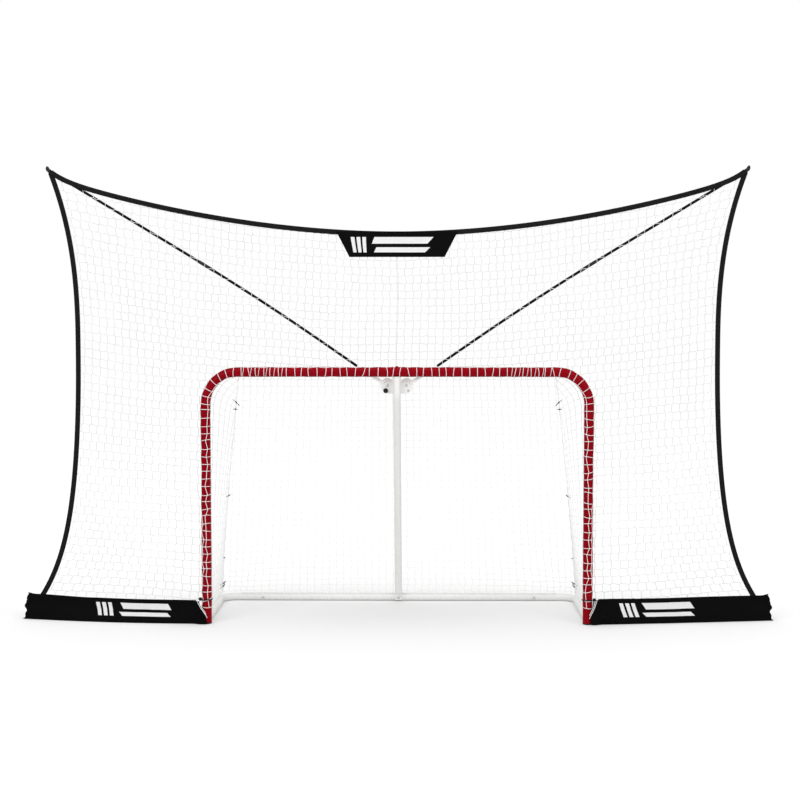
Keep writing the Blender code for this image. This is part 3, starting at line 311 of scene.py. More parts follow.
class Wiring(NodeTree):
    """A new material's tree, with its Principled BSDF."""

    def __init__(self, name: str) -> None:
        """Makes the material.

        Args:
            name: its name.
        """
        self.material = bpy.data.materials.new(name)
        self.material.use_nodes = True
        super().__init__(self.material.node_tree)
        self.shader = self.tree.nodes["Principled BSDF"]

    def effect(self, name: str, **values: float) -> bpy.types.bpy_prop_collection:
        """Places a shared node group with its own values.

        Args:
            name: the group's key.
            **values: what its inputs are set to.

        Returns:
            The group node's outputs, by name.
        """
        node = self.tree.nodes.new("ShaderNodeGroup")
        node.node_tree = GROUPS[name]
        for label, value in values.items():
            node.inputs[label].default_value = value
        return node.outputs

    def shade(self, **inputs: object) -> None:
        """Sets inputs of the Principled BSDF by name, with _ for a space."""
        for name, value in inputs.items():
            self.feed(self.shader, name.replace("_", " "), value)

    def mottled(self, share: Socket, color: Sequence[float], dark: float, light: float) -> Socket:
        """A colour that goes from a darker to a lighter tone of itself, given as factors."""
        return self.blend(share, rgba(color, dark), rgba(color, light))

    def relief(self, height: Socket, depth: float) -> None:
        """Bumps the surface by a height from 0 to 1, whose full step is as deep as given, in metres."""
        bump = self.add("Bump", Height=height, Distance=depth, Strength=1.0)
        self.feed(self.shader, "Normal", bump.outputs[0])


def rgba(color: Sequence[float], factor: float = 1.0) -> tuple[float, float, float, float]:
    """A colour with full alpha, made lighter or darker by a factor."""
    return (color[0] * factor, color[1] * factor, color[2] * factor, 1.0)


# ---- finishes ----


@dataclass(frozen=True)
class PowderCoat:
    """Baked paint on steel tube: faint orange peel, slow changes of tone, and dull dust in patches."""

    name: str
    color: Triple
    roughness: float
    variation: float
    gloss: float
    slot: str

    def material(self) -> Material:
        """Wires the finish."""
        wires = Wiring(self.name)
        clouds = wires.effect("clouds", Size=0.35, Contrast=1.0)["Mask"]
        wires.shade(
            Base_Color=wires.mottled(clouds, self.color, 1 - self.variation, 1 + self.variation),
            Roughness=wires.spread(clouds, 0.0, 1.0, self.roughness * 0.85, self.roughness * 1.2),
            Specular_IOR_Level=self.gloss,
        )
        wires.relief(wires.effect("grain", Size=0.0022)["Height"], 0.00006)
        return wires.material


@dataclass(frozen=True)
class PlatedSteel:
    """Zinc-plated steel: grey metal with cloudy plating and fine drawing marks."""

    name: str
    color: Triple
    roughness: float
    slot: str

    def material(self) -> Material:
        """Wires the finish."""
        wires = Wiring(self.name)
        clouds = wires.effect("clouds", Size=0.02, Contrast=1.4)["Mask"]
        wires.shade(
            Base_Color=wires.mottled(clouds, self.color, 0.82, 1.1),
            Roughness=wires.spread(clouds, 0.0, 1.0, self.roughness * 0.8, self.roughness * 1.3),
            Metallic=0.9,
        )
        wires.relief(wires.effect("grain", Size=0.0006)["Height"], 0.00002)
        return wires.material


@dataclass(frozen=True)
class Moulding:
    """Moulded plastic, pulled fibreglass or waxed thread: fine texture, a little grey where handled."""

    name: str
    color: Triple
    roughness: float
    gloss: float
    grain: float
    depth: float
    slot: str

    def material(self) -> Material:
        """Wires the finish."""
        wires = Wiring(self.name)
        clouds = wires.effect("clouds", Size=0.03, Contrast=1.2)["Mask"]
        wires.shade(
            Base_Color=wires.mottled(clouds, self.color, 0.8, 1.5),
            Roughness=wires.spread(clouds, 0.0, 1.0, self.roughness * 0.85, self.roughness * 1.15),
            Specular_IOR_Level=self.gloss,
        )
        wires.relief(wires.effect("grain", Size=self.grain)["Height"], self.depth)
        return wires.material


@dataclass(frozen=True)
class Woven:
    """Woven cloth or webbing on a UV map in metres: threads in relief with a painted highlight on their tops
    and painted shade between them, and faint dust.
    """

    name: str
    color: Triple
    # how much lighter the thread tops are painted, a painted highlight; the dust's tone is 1.5 times it
    crown: float
    gloss: float
    warp: float
    weft: float
    depth: float
    sheen: float
    slot: str

    def material(self) -> Material:
        """Wires the finish."""
        wires = Wiring(self.name)
        weave = wires.effect("weave", Warp=self.warp, Weft=self.weft)
        clouds = wires.effect("clouds", Size=0.12, Contrast=1.0)["Mask"]
        # painted light: by the weave's height, thread tops lighter and the hollows between them darker
        threads = wires.mottled(weave["Mask"], self.color, 0.7, self.crown)
        # the paler dust takes its tone from the same factor as the painted highlight
        dusty = wires.math("MULTIPLY", clouds, 0.35)
        wires.shade(
            Base_Color=wires.blend(dusty, threads, rgba(self.color, self.crown * 1.5)),
            Roughness=0.7,
            Specular_IOR_Level=self.gloss,
            Sheen_Weight=self.sheen,
            Sheen_Roughness=0.5,
        )
        wires.relief(weave["Height"], self.depth)
        return wires.material


@dataclass(frozen=True)
class Twine:
    """Soft white twine: plies in relief and slight changes of tone along its length."""

    name: str
    color: Triple
    shade: float
    slot: str

    def material(self) -> Material:
        """Wires the finish."""
        wires = Wiring(self.name)
        clouds = wires.effect("clouds", Size=0.10, Contrast=1.3)["Mask"]
        grain = wires.effect("grain", Size=0.0012)["Height"]
        wires.shade(
            Base_Color=wires.mottled(clouds, self.color, self.shade, 1.0),
            Roughness=wires.spread(grain, 0.3, 0.7, 0.65, 0.85),
            Specular_IOR_Level=0.15,
        )
        wires.relief(grain, 0.0003)
        return wires.material


@dataclass(frozen=True)
class ScreenPrint:
    """Flat ink printed on cloth, with the cloth's texture showing through as relief and as painted shade in the
    weave's hollows.
    """

    name: str
    color: Triple
    slot: str

    def material(self) -> Material:
        """Wires the finish."""
        wires = Wiring(self.name)
        weave = wires.effect("weave", Warp=0.0012, Weft=0.0012)
        # painted shade: the ink is darker where the weave is low
        wires.shade(
            Base_Color=wires.mottled(weave["Mask"], self.color, 0.86, 1.0),
            Roughness=0.6,
            Specular_IOR_Level=0.15,
        )
        wires.relief(weave["Height"], 0.0001)
        return wires.material


RED_COAT = PowderCoat("red_powder_coat", (0.235, 0.0005, 0.0052), 0.34, 0.10, 0.04, "red_paint")
WHITE_COAT = PowderCoat("white_powder_coat", (0.80, 0.80, 0.785), 0.42, 0.02, 0.30, "white_paint")
# painted light: the posts' white paint made lighter on the bracket and arm sockets to offset the shade they sit
# in behind the crossbar
BRIGHTENED_WHITE_COAT = PowderCoat("bracket_powder_coat", (0.92, 0.92, 0.905), 0.42, 0.02, 0.30, "white_paint")
STEEL = PlatedSteel("plated_steel", (0.55, 0.56, 0.57), 0.36, "grey_steel")
BLACK_PLASTIC = Moulding(
    "black_moulded_plastic", (0.006, 0.006, 0.0065), 0.42, 0.20, 0.0012, 0.00006, "black_plastic"
)
FIBREGLASS = Moulding(
    "black_fibreglass", (0.003, 0.003, 0.0035), 0.34, 0.05, 0.0030, 0.00004, "black_fibreglass"
)
THREAD = Moulding("black_thread", (0.010, 0.010, 0.011), 0.55, 0.12, 0.0008, 0.0001, "black_cloth")
WEBBING = Woven(
    "black_webbing", (0.0055, 0.0055, 0.0060), 1.8, 0.06, 0.0028, 0.0018, 0.00035, 0.01, "black_cloth"
)
SLEEVE_CLOTH = Woven(
    "black_sleeve_cloth", (0.0018, 0.0018, 0.0020), 1.6, 0.03, 0.0011, 0.0011, 0.00012, 0.004, "black_cloth"
)
BACKSTOP_TWINE = Twine("backstop_twine", (0.76, 0.76, 0.76), 0.86, "white_twine")
GOAL_TWINE = Twine("goal_twine", (0.90, 0.90, 0.89), 0.95, "white_twine")
WHITE_INK = ScreenPrint("white_ink", (0.78, 0.78, 0.78), "black_cloth")

Finish = PowderCoat | PlatedSteel | Moulding | Woven | Twine | ScreenPrint
MATERIALS: dict[str, Material] = {}


def dressed_in(finish: Finish) -> Material:
    """The finish's material, wired the first time that it is asked for."""
    if finish.name not in MATERIALS:
        MATERIALS[finish.name] = finish.material()
    return MATERIALS[finish.name]


# ---- surfaces as arrays ----


@dataclass
class Shell:
    """Vertices, faces and an optional UV point for each vertex, held as arrays."""

    points: Array
    faces: list[Array]
    uv: Array | None = None

    def mirrored(self) -> "Shell":
        """The same shell on the other side of X = 0, still facing outwards."""
        return Shell(self.points * MIRROR, [part[:, ::-1] for part in self.faces], self.uv)

    def on(self, side: Side) -> "Shell":
        """The shell as it is on the right, or its mirror image on the left."""
        return self if side is Side.RIGHT else self.mirrored()

    def outward(self) -> "Shell":
        """Turns the faces round if the shell's signed volume, the sum of its corner pyramids, is negative."""
        volume = 0.0
        for part in self.faces:
            first = self.points[part[:, 0]]
            for corner in range(1, part.shape[1] - 1):
                a, b = self.points[part[:, corner]], self.points[part[:, corner + 1]]
                volume += float(np.einsum("ij,ij->", first, np.cross(a, b)))
        if volume >= 0:
            return self
        return Shell(self.points, [part[:, ::-1] for part in self.faces], self.uv)

    def piece(self, name: str, finish: Finish, smooth: bool = True) -> bpy.types.Object:
        """Makes the shell an object.

        Args:
            name: the piece's name.
            finish: what it is dressed in.
            smooth: whether its faces are shaded smooth, with edges over 40 degrees kept sharp.

        Returns:
            The object, at the origin, in the scene's collection.
        """
        mesh = bpy.data.meshes.new(name)
        corners = np.concatenate([part.ravel() for part in self.faces]).astype(np.int32)
        counts = np.concatenate([np.full(len(part), part.shape[1]) for part in self.faces])
        mesh.vertices.add(len(self.points))
        mesh.vertices.foreach_set("co", self.points.astype(np.float32).ravel())
        mesh.loops.add(len(corners))
        mesh.loops.foreach_set("vertex_index", corners)
        mesh.polygons.add(len(counts))
        starts = np.concatenate([[0], np.cumsum(counts)[:-1]]).astype(np.int32)
        mesh.polygons.foreach_set("loop_start", starts)
        mesh.update(calc_edges=True)
        if self.uv is not None:
            layer = mesh.uv_layers.new(name="metres")
            layer.data.foreach_set("uv", self.uv[corners].astype(np.float32).ravel())
        if smooth:
            mesh.shade_smooth()
            mesh.set_sharp_from_angle(angle=SHARP_ANGLE)
        mesh.materials.append(dressed_in(finish))
        made = bpy.data.objects.new(name, mesh)
        bpy.context.scene.collection.objects.link(made)
        return made


def joined(shells: Sequence[Shell]) -> Shell:
    """Several shells as one, with their vertices numbered on."""
    faces, first = [], 0
    for shell in shells:
        faces += [part + first for part in shell.faces]
        first += len(shell.points)
    uv = None
    if all(shell.uv is not None for shell in shells):
        uv = np.concatenate([shell.uv for shell in shells])
    return Shell(np.concatenate([shell.points for shell in shells]), faces, uv)


def grid_faces(rows: int, columns: int, wrap_rows: bool = False, wrap_columns: bool = False) -> Array:
    """Quads between neighbouring points of a grid, numbered row by row.

    Args:
        rows: how many rows of points.
        columns: how many points in a row.
        wrap_rows: whether the last row joins the first.
        wrap_columns: whether each row closes on itself.

    Returns:
        An array of four vertex numbers for each quad.
    """
    row = np.arange(rows if wrap_rows else rows - 1)[:, None]
    column = np.arange(columns if wrap_columns else columns - 1)[None, :]
    next_row, next_column = (row + 1) % rows, (column + 1) % columns
    quad = [
        row * columns + column,
        row * columns + next_column,
        next_row * columns + next_column,
        next_row * columns + column,
    ]
    return np.stack([np.broadcast_to(part, quad[0].shape) for part in quad], axis=-1).reshape(-1, 4)


def lofted(rings: Array, uv: Array | None = None, loop: bool = False) -> Shell:
    """A closed shell through rings of points, with flat ends, or none where the rings form a loop.

    Args:
        rings: rings x points x 3.
        uv: rings x points x 2.
        loop: whether the last ring joins the first.

    Returns:
        The shell, facing outwards.
    """
    count, sides = rings.shape[:2]
    faces = [grid_faces(count, sides, wrap_rows=loop, wrap_columns=True)]
    if not loop:
        faces.append(np.arange(sides)[None, ::-1])
        faces.append((np.arange(sides) + (count - 1) * sides)[None, :])
    flat_uv = None if uv is None else uv.reshape(-1, 2)
    return Shell(rings.reshape(-1, 3), faces, flat_uv).outward()


def directions(path: Array, loop: bool = False) -> Array:
    """Unit tangents along a path, by central differences."""
    if loop:
        run = np.roll(path, -1, axis=0) - np.roll(path, 1, axis=0)
    else:
        run = np.gradient(path, axis=0)
    return run / np.linalg.norm(run, axis=1, keepdims=True)


def unit(vectors: Array) -> Array:
    """The vectors at length one."""
    return vectors / np.maximum(np.linalg.norm(vectors, axis=-1, keepdims=True), 1e-12)


def path_run(path: Array) -> Array:
    """Distance along a path from its start to each of its points."""
    return np.concatenate([[0.0], np.cumsum(np.linalg.norm(np.diff(path, axis=0), axis=1))])


def swept(
    path: Array, section: Array, across: Array, loop: bool = False, uv: bool = False
) -> Shell:
    """Carries a closed section along a path: P = path + u * side + v * across, where side = across x tangent.

    Args:
        path: points x 3.
        section: points x 2, or one section for each path point.
        across: the direction that the section's second axis keeps close to, or one for each path point.
        loop: whether the path closes on itself.
        uv: whether to lay a UV map of run and first section axis.

    Returns:
        The shell.
    """
    along = directions(path, loop)
    across = np.broadcast_to(across, path.shape)
    across = unit(across - along * np.einsum("ij,ij->i", across, along)[:, None])
    side = np.cross(across, along)
    if section.ndim == 2:
        section = np.broadcast_to(section, (len(path), *section.shape))
    rings = path[:, None] + section[..., :1] * side[:, None] + section[..., 1:] * across[:, None]
    flat = None
    if uv:
        run = np.broadcast_to(path_run(path)[:, None], section.shape[:2])
        flat = np.stack([run, section[..., 0]], axis=-1)
    return lofted(rings, flat, loop)


def circle(radius: float, sides: int) -> Array:
    """A round section."""
    angle = np.linspace(0, 2 * math.pi, sides, endpoint=False)
    return radius * np.stack([np.cos(angle), np.sin(angle)], axis=1)


def rounded_box(half_width: float, half_height: float, radius: float, steps: int) -> Array:
    """A rectangular section with round corners, counter-clockwise."""
    turn = np.linspace(0, math.pi / 2, steps + 1)
    corners = []
    for quarter, (sx, sy) in enumerate(((1, 1), (-1, 1), (-1, -1), (1, -1))):
        angle = turn + quarter * math.pi / 2
        centre = np.array([sx * (half_width - radius), sy * (half_height - radius)])
        corners.append(centre + radius * np.stack([np.cos(angle), np.sin(angle)], axis=1))
    return np.concatenate(corners)


def ring(radius: float, steps: int) -> Array:
    """A level circle of points round the origin."""
    return np.concatenate([circle(radius, steps), np.zeros((steps, 1))], axis=1)


def straight_line(start: Sequence[float], end: Sequence[float], steps: int) -> Array:
    """Evenly spaced points from start to end."""
    return np.linspace(np.asarray(start, float), np.asarray(end, float), steps)


def smooth_path(points: Array, steps: int) -> Array:
    """A Catmull-Rom curve through points: each span is a cubic whose slopes join its neighbours.

    Args:
        points: the points that it passes through.
        steps: points along each span.

    Returns:
        points x 3.
    """
    padded = np.concatenate([2 * points[:1] - points[1:2], points, 2 * points[-1:] - points[-2:-1]])
    share = np.linspace(0, 1, steps, endpoint=False)[:, None]
    spans = []
    for a, b, c, d in zip(padded[:-3], padded[1:-2], padded[2:-1], padded[3:]):
        bend = (2 * a - 5 * b + 4 * c - d) * share**2 + (3 * b - a - 3 * c + d) * share**3
        spans.append(0.5 * (2 * b + (c - a) * share + bend))
    return np.concatenate(spans + [points[-1:]])


def tube(path: Array, radius: float, across: Array, sides: int = 32, chamfer: float = 0.0) -> Shell:
    """A round tube along a path, with chamfered ends.

    Args:
        path: points x 3.
        radius: the tube's radius.
        across: a direction square to the path.
        sides: points round it.
        chamfer: how much each end is eased.

    Returns:
        The shell.
    """
    radii = np.full(len(path), radius)
    if chamfer:
        along = directions(path)
        start = path[0] + along[0] * chamfer
        end = path[-1] - along[-1] * chamfer
        path = np.concatenate([path[:1], [start], path[1:-1], [end], path[-1:]])
        radii = np.concatenate([[radius - chamfer], np.full(len(path) - 2, radius), [radius - chamfer]])
    section = circle(1.0, sides)[None] * radii[:, None, None]
    return swept(path, section, across)


def turned(
    profile: Sequence[Pair], at: Array, direction: Array, sides: int = 28
) -> Shell:
    """A turned shell: each (radius, height) of the profile is a ring round the axis.

    Args:
        profile: radii and heights from one end to the other.
        at: where height 0 lies.
        direction: the axis.
        sides: points round it.

    Returns:
        The shell.
    """
    axis = unit(np.asarray(direction, float))
    helper = X_AXIS if abs(axis[0]) < 0.8 else Y_AXIS
    first = unit(np.cross(axis, helper))
    second = np.cross(axis, first)
    spread = circle(1.0, sides)
    spokes = spread[:, :1] * first + spread[:, 1:] * second
    outline = np.asarray(profile, float)
    rings = outline[:, :1, None] * spokes[None] + outline[:, 1][:, None, None] * axis + np.asarray(at, float)
    return lofted(rings)


def bead(
    neck: float, belly: float, shoulder: float, half: float, at: Array, axis: Array, sides: int
) -> Shell:
    """A turned lump, such as a knot: two radii, and how far its neck and its end are from its middle."""
    tip = 2 * NEAR_AXIS
    profile = [(tip, -half), (neck, -shoulder), (belly, 0.0), (neck, shoulder), (tip, half)]
    return turned(profile, at, axis, sides)


def strands(starts: Array, ends: Array, radius: float, facing: Array, sides: int = 4) -> Shell:
    """Many short straight strands at once, each a closed prism from start to end.

    Args:
        starts: strands x 3.
        ends: strands x 3.
        radius: the strands' radius.
        facing: a direction that no strand runs along.
        sides: sides of each prism.

    Returns:
        One shell of all the strands.
    """
    run = unit(ends - starts)
    first = unit(np.cross(run, np.broadcast_to(facing, run.shape)))
    second = np.cross(run, first)
    spread = circle(radius, sides)
    spokes = spread[None, :, :1] * first[:, None] + spread[None, :, 1:] * second[:, None]
    low, high = starts[:, None] + spokes, ends[:, None] + spokes
    points = np.concatenate([low, high], axis=1).reshape(-1, 3)
    near = np.arange(sides)
    after = (near + 1) % sides
    walls = np.stack([near, after, after + sides, near + sides], axis=1)
    base = np.arange(len(starts))[:, None, None] * (2 * sides)
    caps_low = (near[::-1][None] + base[:, 0]).reshape(-1, sides)
    caps_high = (near[None] + sides + base[:, 0]).reshape(-1, sides)
    shell = Shell(points, [(walls[None] + base).reshape(-1, 4), caps_low, caps_high])
    return shell.outward()


def knots(points: Array, radius: float, flat: Array, flatness: float = 0.8) -> Shell:
    """A small eight-sided lump of twine at each point: P = point +- radius along each axis.

    Args:
        points: knots x 3.
        radius: half a knot's width.
        flat: the direction in which knots are thinner.
        flatness: how thin, as a share of the width.

    Returns:
        One shell of all the knots.
    """
    offsets = np.concatenate([np.eye(3), -np.eye(3)]) * radius
    offsets = offsets * (1 - (1 - flatness) * np.abs(flat))
    shape = np.array([[0, 1, 2], [1, 3, 2], [3, 4, 2], [4, 0, 2], [1, 0, 5], [3, 1, 5], [4, 3, 5], [0, 4, 5]])
    all_points = (points[:, None] + offsets[None]).reshape(-1, 3)
    faces = (shape[None] + np.arange(len(points))[:, None, None] * 6).reshape(-1, 3)
    return Shell(all_points, [faces]).outward()


def dressed_copy(node: str, finish: Finish, bevel: float) -> bpy.types.Object:
    """A smooth-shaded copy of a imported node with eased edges, which stands for it.

    Args:
        node: the node's name.
        finish: what the copy is dressed in.
        bevel: width of the eased edges.

    Returns:
        The copy, riding on the node's body.
    """
    source = frame["nodes"][node]
    work = bmesh.new()
    work.from_mesh(source.data)
    bmesh.ops.remove_doubles(work, verts=work.verts, dist=SAME_PLACE)
    bmesh.ops.dissolve_limit(work, angle_limit=FLAT_ANGLE, verts=work.verts, edges=work.edges)
    mesh = bpy.data.meshes.new(f"{node}_dressed")
    work.to_mesh(mesh)
    work.free()
    mesh.shade_smooth()
    mesh.set_sharp_from_angle(angle=SHARP_ANGLE)
    mesh.materials.append(dressed_in(finish))
    made = bpy.data.objects.new(f"{node}_dressed", mesh)
    bpy.context.scene.collection.objects.link(made)
    if bevel:
        eased = made.modifiers.new("eased_edges", "BEVEL")
        eased.width = bevel
        eased.segments = 2
        eased.limit_method = "ANGLE"
        eased.angle_limit = SHARP_ANGLE
        eased.harden_normals = False
    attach(made, source["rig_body"])
    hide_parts(node)
    return made


def stand_for(made: bpy.types.Object, body: str, *nodes: str) -> bpy.types.Object:
    """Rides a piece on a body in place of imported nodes, and reports it."""
    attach(made, body)
    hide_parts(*nodes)
    LOG.info("%s stands for %s on %s", made.name, ", ".join(nodes), body)
    return made


# ---- places and outlines ----


@dataclass(frozen=True)
class Layout:
    """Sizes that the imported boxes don't show: the tubes' bends, and places near the floor."""

    hoop_bend: float = 0.160
    base_bend: float = 0.076
    hoop_stub: float = 0.100
    sleeve_height: float = 0.127
    ground_tube_z: float = 0.030
    base_lift: float = 0.0003


def level_tube(node: str) -> Triple:
    """Radius of a packed tube that runs along X, and the place and height of its axis."""
    low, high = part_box(node)
    return (high.z - low.z) / 2, (high.y + low.y) / 2, (high.z + low.z) / 2


LAYOUT = Layout()
HOOP_R, HOOP_Y, HOOP_Z = level_tube("crossbar")
HOOP_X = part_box("right_post")[1].x - HOOP_R
HOOP_BEND = LAYOUT.hoop_bend
BEND_X, BEND_Z = HOOP_X - HOOP_BEND, HOOP_Z - HOOP_BEND
OUTSIDE_X, OUTSIDE_Z = HOOP_X + HOOP_R, HOOP_Z + HOOP_R
BASE_R, REAR_Y, _ = level_tube("rear_base_tube")
BASE_TOP = 2 * BASE_R
SLEEVE_TOP = LAYOUT.sleeve_height


def joint_place(name: str) -> Array:
    """Where a joint's axis passes, in the frame."""
    return next(np.array(joint["pos_m"], float) for joint in frame["joints"] if joint["name"] == name)


PIVOT = joint_place("right_arm_drop")
HINGE = joint_place("right_ground_arm_swing")
ARM_Y = PIVOT[1]


@dataclass(frozen=True)
class Outline:
    """Edges of the backstop net, to the middle of its binding."""

    corner_x: float = 1.695
    top_middle: float = 1.915
    top_rise: float = 0.271
    top_power: float = 1.9
    flick: float = 0.034
    flick_power: float = 24.0
    waist_x: float = 1.568
    waist_z: float = 1.380
    upper_power: float = 2.5
    lower_flare: float = 0.140
    lower_power: float = 2.5
    hem_flare: float = 0.064
    hem_power: float = 7.0
    set_back: float = 0.036
    sweep: float = math.radians(7.0)

    @property
    def corner_z(self) -> float:
        """Height of the corner."""
        return self.top_middle + self.top_rise + self.flick

    def rise(self, x: Array) -> Array:
        """How much higher the top edge is than in the middle: an even curve and a flick at the corner."""
        share = np.abs(x) / self.corner_x
        return self.top_rise * share**self.top_power + self.flick * share**self.flick_power

    def top(self, x: Array) -> Array:
        """Height of the top edge."""
        return self.top_middle + self.rise(x)

    def side(self, z: Array) -> Array:
        """Half width at a height: power curves above and below the waist, and a flare at the hem."""
        z = np.asarray(z, float)
        up = np.clip((z - self.waist_z) / (self.corner_z - self.waist_z), 0, None)
        down = np.clip((self.waist_z - z) / (self.waist_z - SLEEVE_TOP), 0, None)
        flare = self.lower_flare * down**self.lower_power + self.hem_flare * down**self.hem_power
        return self.waist_x + (self.corner_x - self.waist_x) * up**self.upper_power + flare

    def edge_set_back(self, z: Array) -> Array:
        """How far the side edge lies behind the hoop's plane: at the hem, as far as the ground arm."""
        swept_back = math.tan(self.sweep) * (float(self.side(SLEEVE_TOP)) - HINGE[0])
        share = np.clip((BEND_Z - z) / (BEND_Z - SLEEVE_TOP), 0, None)
        return self.set_back + (swept_back - self.set_back) * share**2

    def net_set_back(self, x: Array, z: Array) -> Array:
        """How far the net lies behind the hoop's plane: nothing at the hoop, most at the edge."""
        out = (np.abs(x) - OUTSIDE_X) / (self.side(z) - OUTSIDE_X)
        up = (z - OUTSIDE_Z) / (self.top(x) - OUTSIDE_Z)
        return self.edge_set_back(z) * np.clip(np.maximum(out, up), 0, 1)

    def clearance(self, x: Array, z: Array, margin: float, tucked: float) -> Array:
        """How far a point of the net's plane lies inside the edges and outside the hoop and the sleeves.

        Args:
            x: places across.
            z: heights.
            margin: kept to the top and side edges' middle lines.
            tucked: how far the net runs down into the sleeves.

        Returns:
            A length that is positive where there is net.
        """
        past_x, past_z = np.abs(x) - BEND_X, z - BEND_Z
        round_corner = np.hypot(np.clip(past_x, 0, None), np.clip(past_z, 0, None))
        past_hoop = round_corner - (HOOP_BEND + HOOP_R)
        inside = np.minimum(self.top(x) - margin - z, self.side(z) - margin - np.abs(x))
        return np.minimum(np.minimum(inside, past_hoop), z - SLEEVE_TOP + tucked)


OUTLINE = Outline()


def hoop_points(run: Array) -> tuple[Array, Array]:
    """Places on the hoop's right half and the directions that face out of it there.

    Args:
        run: distance along the centre line from the floor.

    Returns:
        The points and the outward directions.
    """
    angle = np.clip((run - BEND_Z) / HOOP_BEND, 0, math.pi / 2)
    past = np.clip(run - BEND_Z - HOOP_BEND * math.pi / 2, 0, None)
    x = BEND_X + HOOP_BEND * np.cos(angle) - past
    z = np.minimum(run, BEND_Z) + HOOP_BEND * np.sin(angle)
    outward = np.stack([np.cos(angle), np.zeros_like(angle), np.sin(angle)], axis=1)
    return np.stack([x, np.full_like(x, HOOP_Y), z], axis=1), outward


BEND_RUN = HOOP_BEND * math.pi / 2
HALF_HOOP = BEND_Z + BEND_RUN + BEND_X  # run from a foot to the middle of the crossbar


def bent_path(points: Sequence[Triple], radius: float, steps: int) -> Array:
    """A path through corner points with each inner corner rounded to an arc.

    Args:
        points: the corners.
        radius: radius of each bend.
        steps: points along each bend.

    Returns:
        points x 3.
    """
    corners = np.asarray(points, float)
    path = [corners[:1]]
    for before, here, after in zip(corners[:-2], corners[1:-1], corners[2:]):
        towards, away = unit(before - here), unit(after - here)
        half = math.acos(float(np.clip(towards @ away, -1, 1))) / 2
        centre = here + unit(towards + away) * radius / math.sin(half)
        first = here + towards * radius / math.tan(half) - centre
        last = here + away * radius / math.tan(half) - centre
        share = np.linspace(0, 1, steps)[:, None]
        turn = math.pi - 2 * half
        arc = np.sin((1 - share) * turn) * first + np.sin(share * turn) * last
        path.append(centre + arc / math.sin(turn))
    path.append(corners[-1:])
    return np.concatenate(path)


# ---- red hoop and white base ----


@dataclass
class RedHoop:
    """Posts, crossbar and foot caps, with the bolts that hold them."""

    sides: int = 48
    seam: float = 0.0008
    bend_steps: int = 28
    post_steps: int = 12
    bar_steps: int = 24
    cap_height: float = 0.006
    cap_foot: float = 0.0012
    cap_rim: float = 0.0008
    bolt_bevel: float = 0.0004

    def build(self) -> None:
        """Builds and places every piece of the hoop."""
        splice = BEND_X - LAYOUT.hoop_stub
        for side in Side:
            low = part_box(f"{side.word}_post")[0].z
            arc = BEND_Z + np.linspace(0, BEND_RUN, self.bend_steps)
            run = np.concatenate([np.linspace(low, BEND_Z, self.post_steps)[:-1], arc, [HALF_HOOP - splice]])
            post = tube(hoop_points(run)[0], HOOP_R, Y_AXIS, self.sides, self.seam)
            stand_for(post.on(side).piece(f"{side.word}_post_tube", RED_COAT), "root", f"{side.word}_post")
            self.foot_cap(side)
            for bolt in ("base_bolt", "crossbar_bolt"):
                dressed_copy(f"{side.word}_{bolt}", RED_COAT, self.bolt_bevel)
        path = straight_line((-splice, HOOP_Y, HOOP_Z), (splice, HOOP_Y, HOOP_Z), self.bar_steps)
        bar = tube(path, HOOP_R, Y_AXIS, self.sides, self.seam)
        stand_for(bar.piece("crossbar_tube", RED_COAT), "root", "crossbar")
        dressed_copy("centre_post_top_bolt", RED_COAT, self.bolt_bevel)

    def foot_cap(self, side: Side) -> None:
        """Turned cap under a post, with an eased rim.

        Args:
            side: which post.
        """
        low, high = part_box(f"{side.word}_foot_cap")
        rim, foot, top = HOOP_R, self.cap_foot, self.cap_height
        profile = [(NEAR_AXIS, 0), (rim - foot, 0), (rim, foot)]
        profile += [(rim, top - self.cap_rim), (rim - self.cap_rim, top), (NEAR_AXIS, top)]
        cap = turned(profile, np.array([(low.x + high.x) / 2, HOOP_Y, 0]), Z_AXIS, self.sides)
        stand_for(cap.piece(f"{side.word}_post_foot", BLACK_PLASTIC), "root", f"{side.word}_foot_cap")


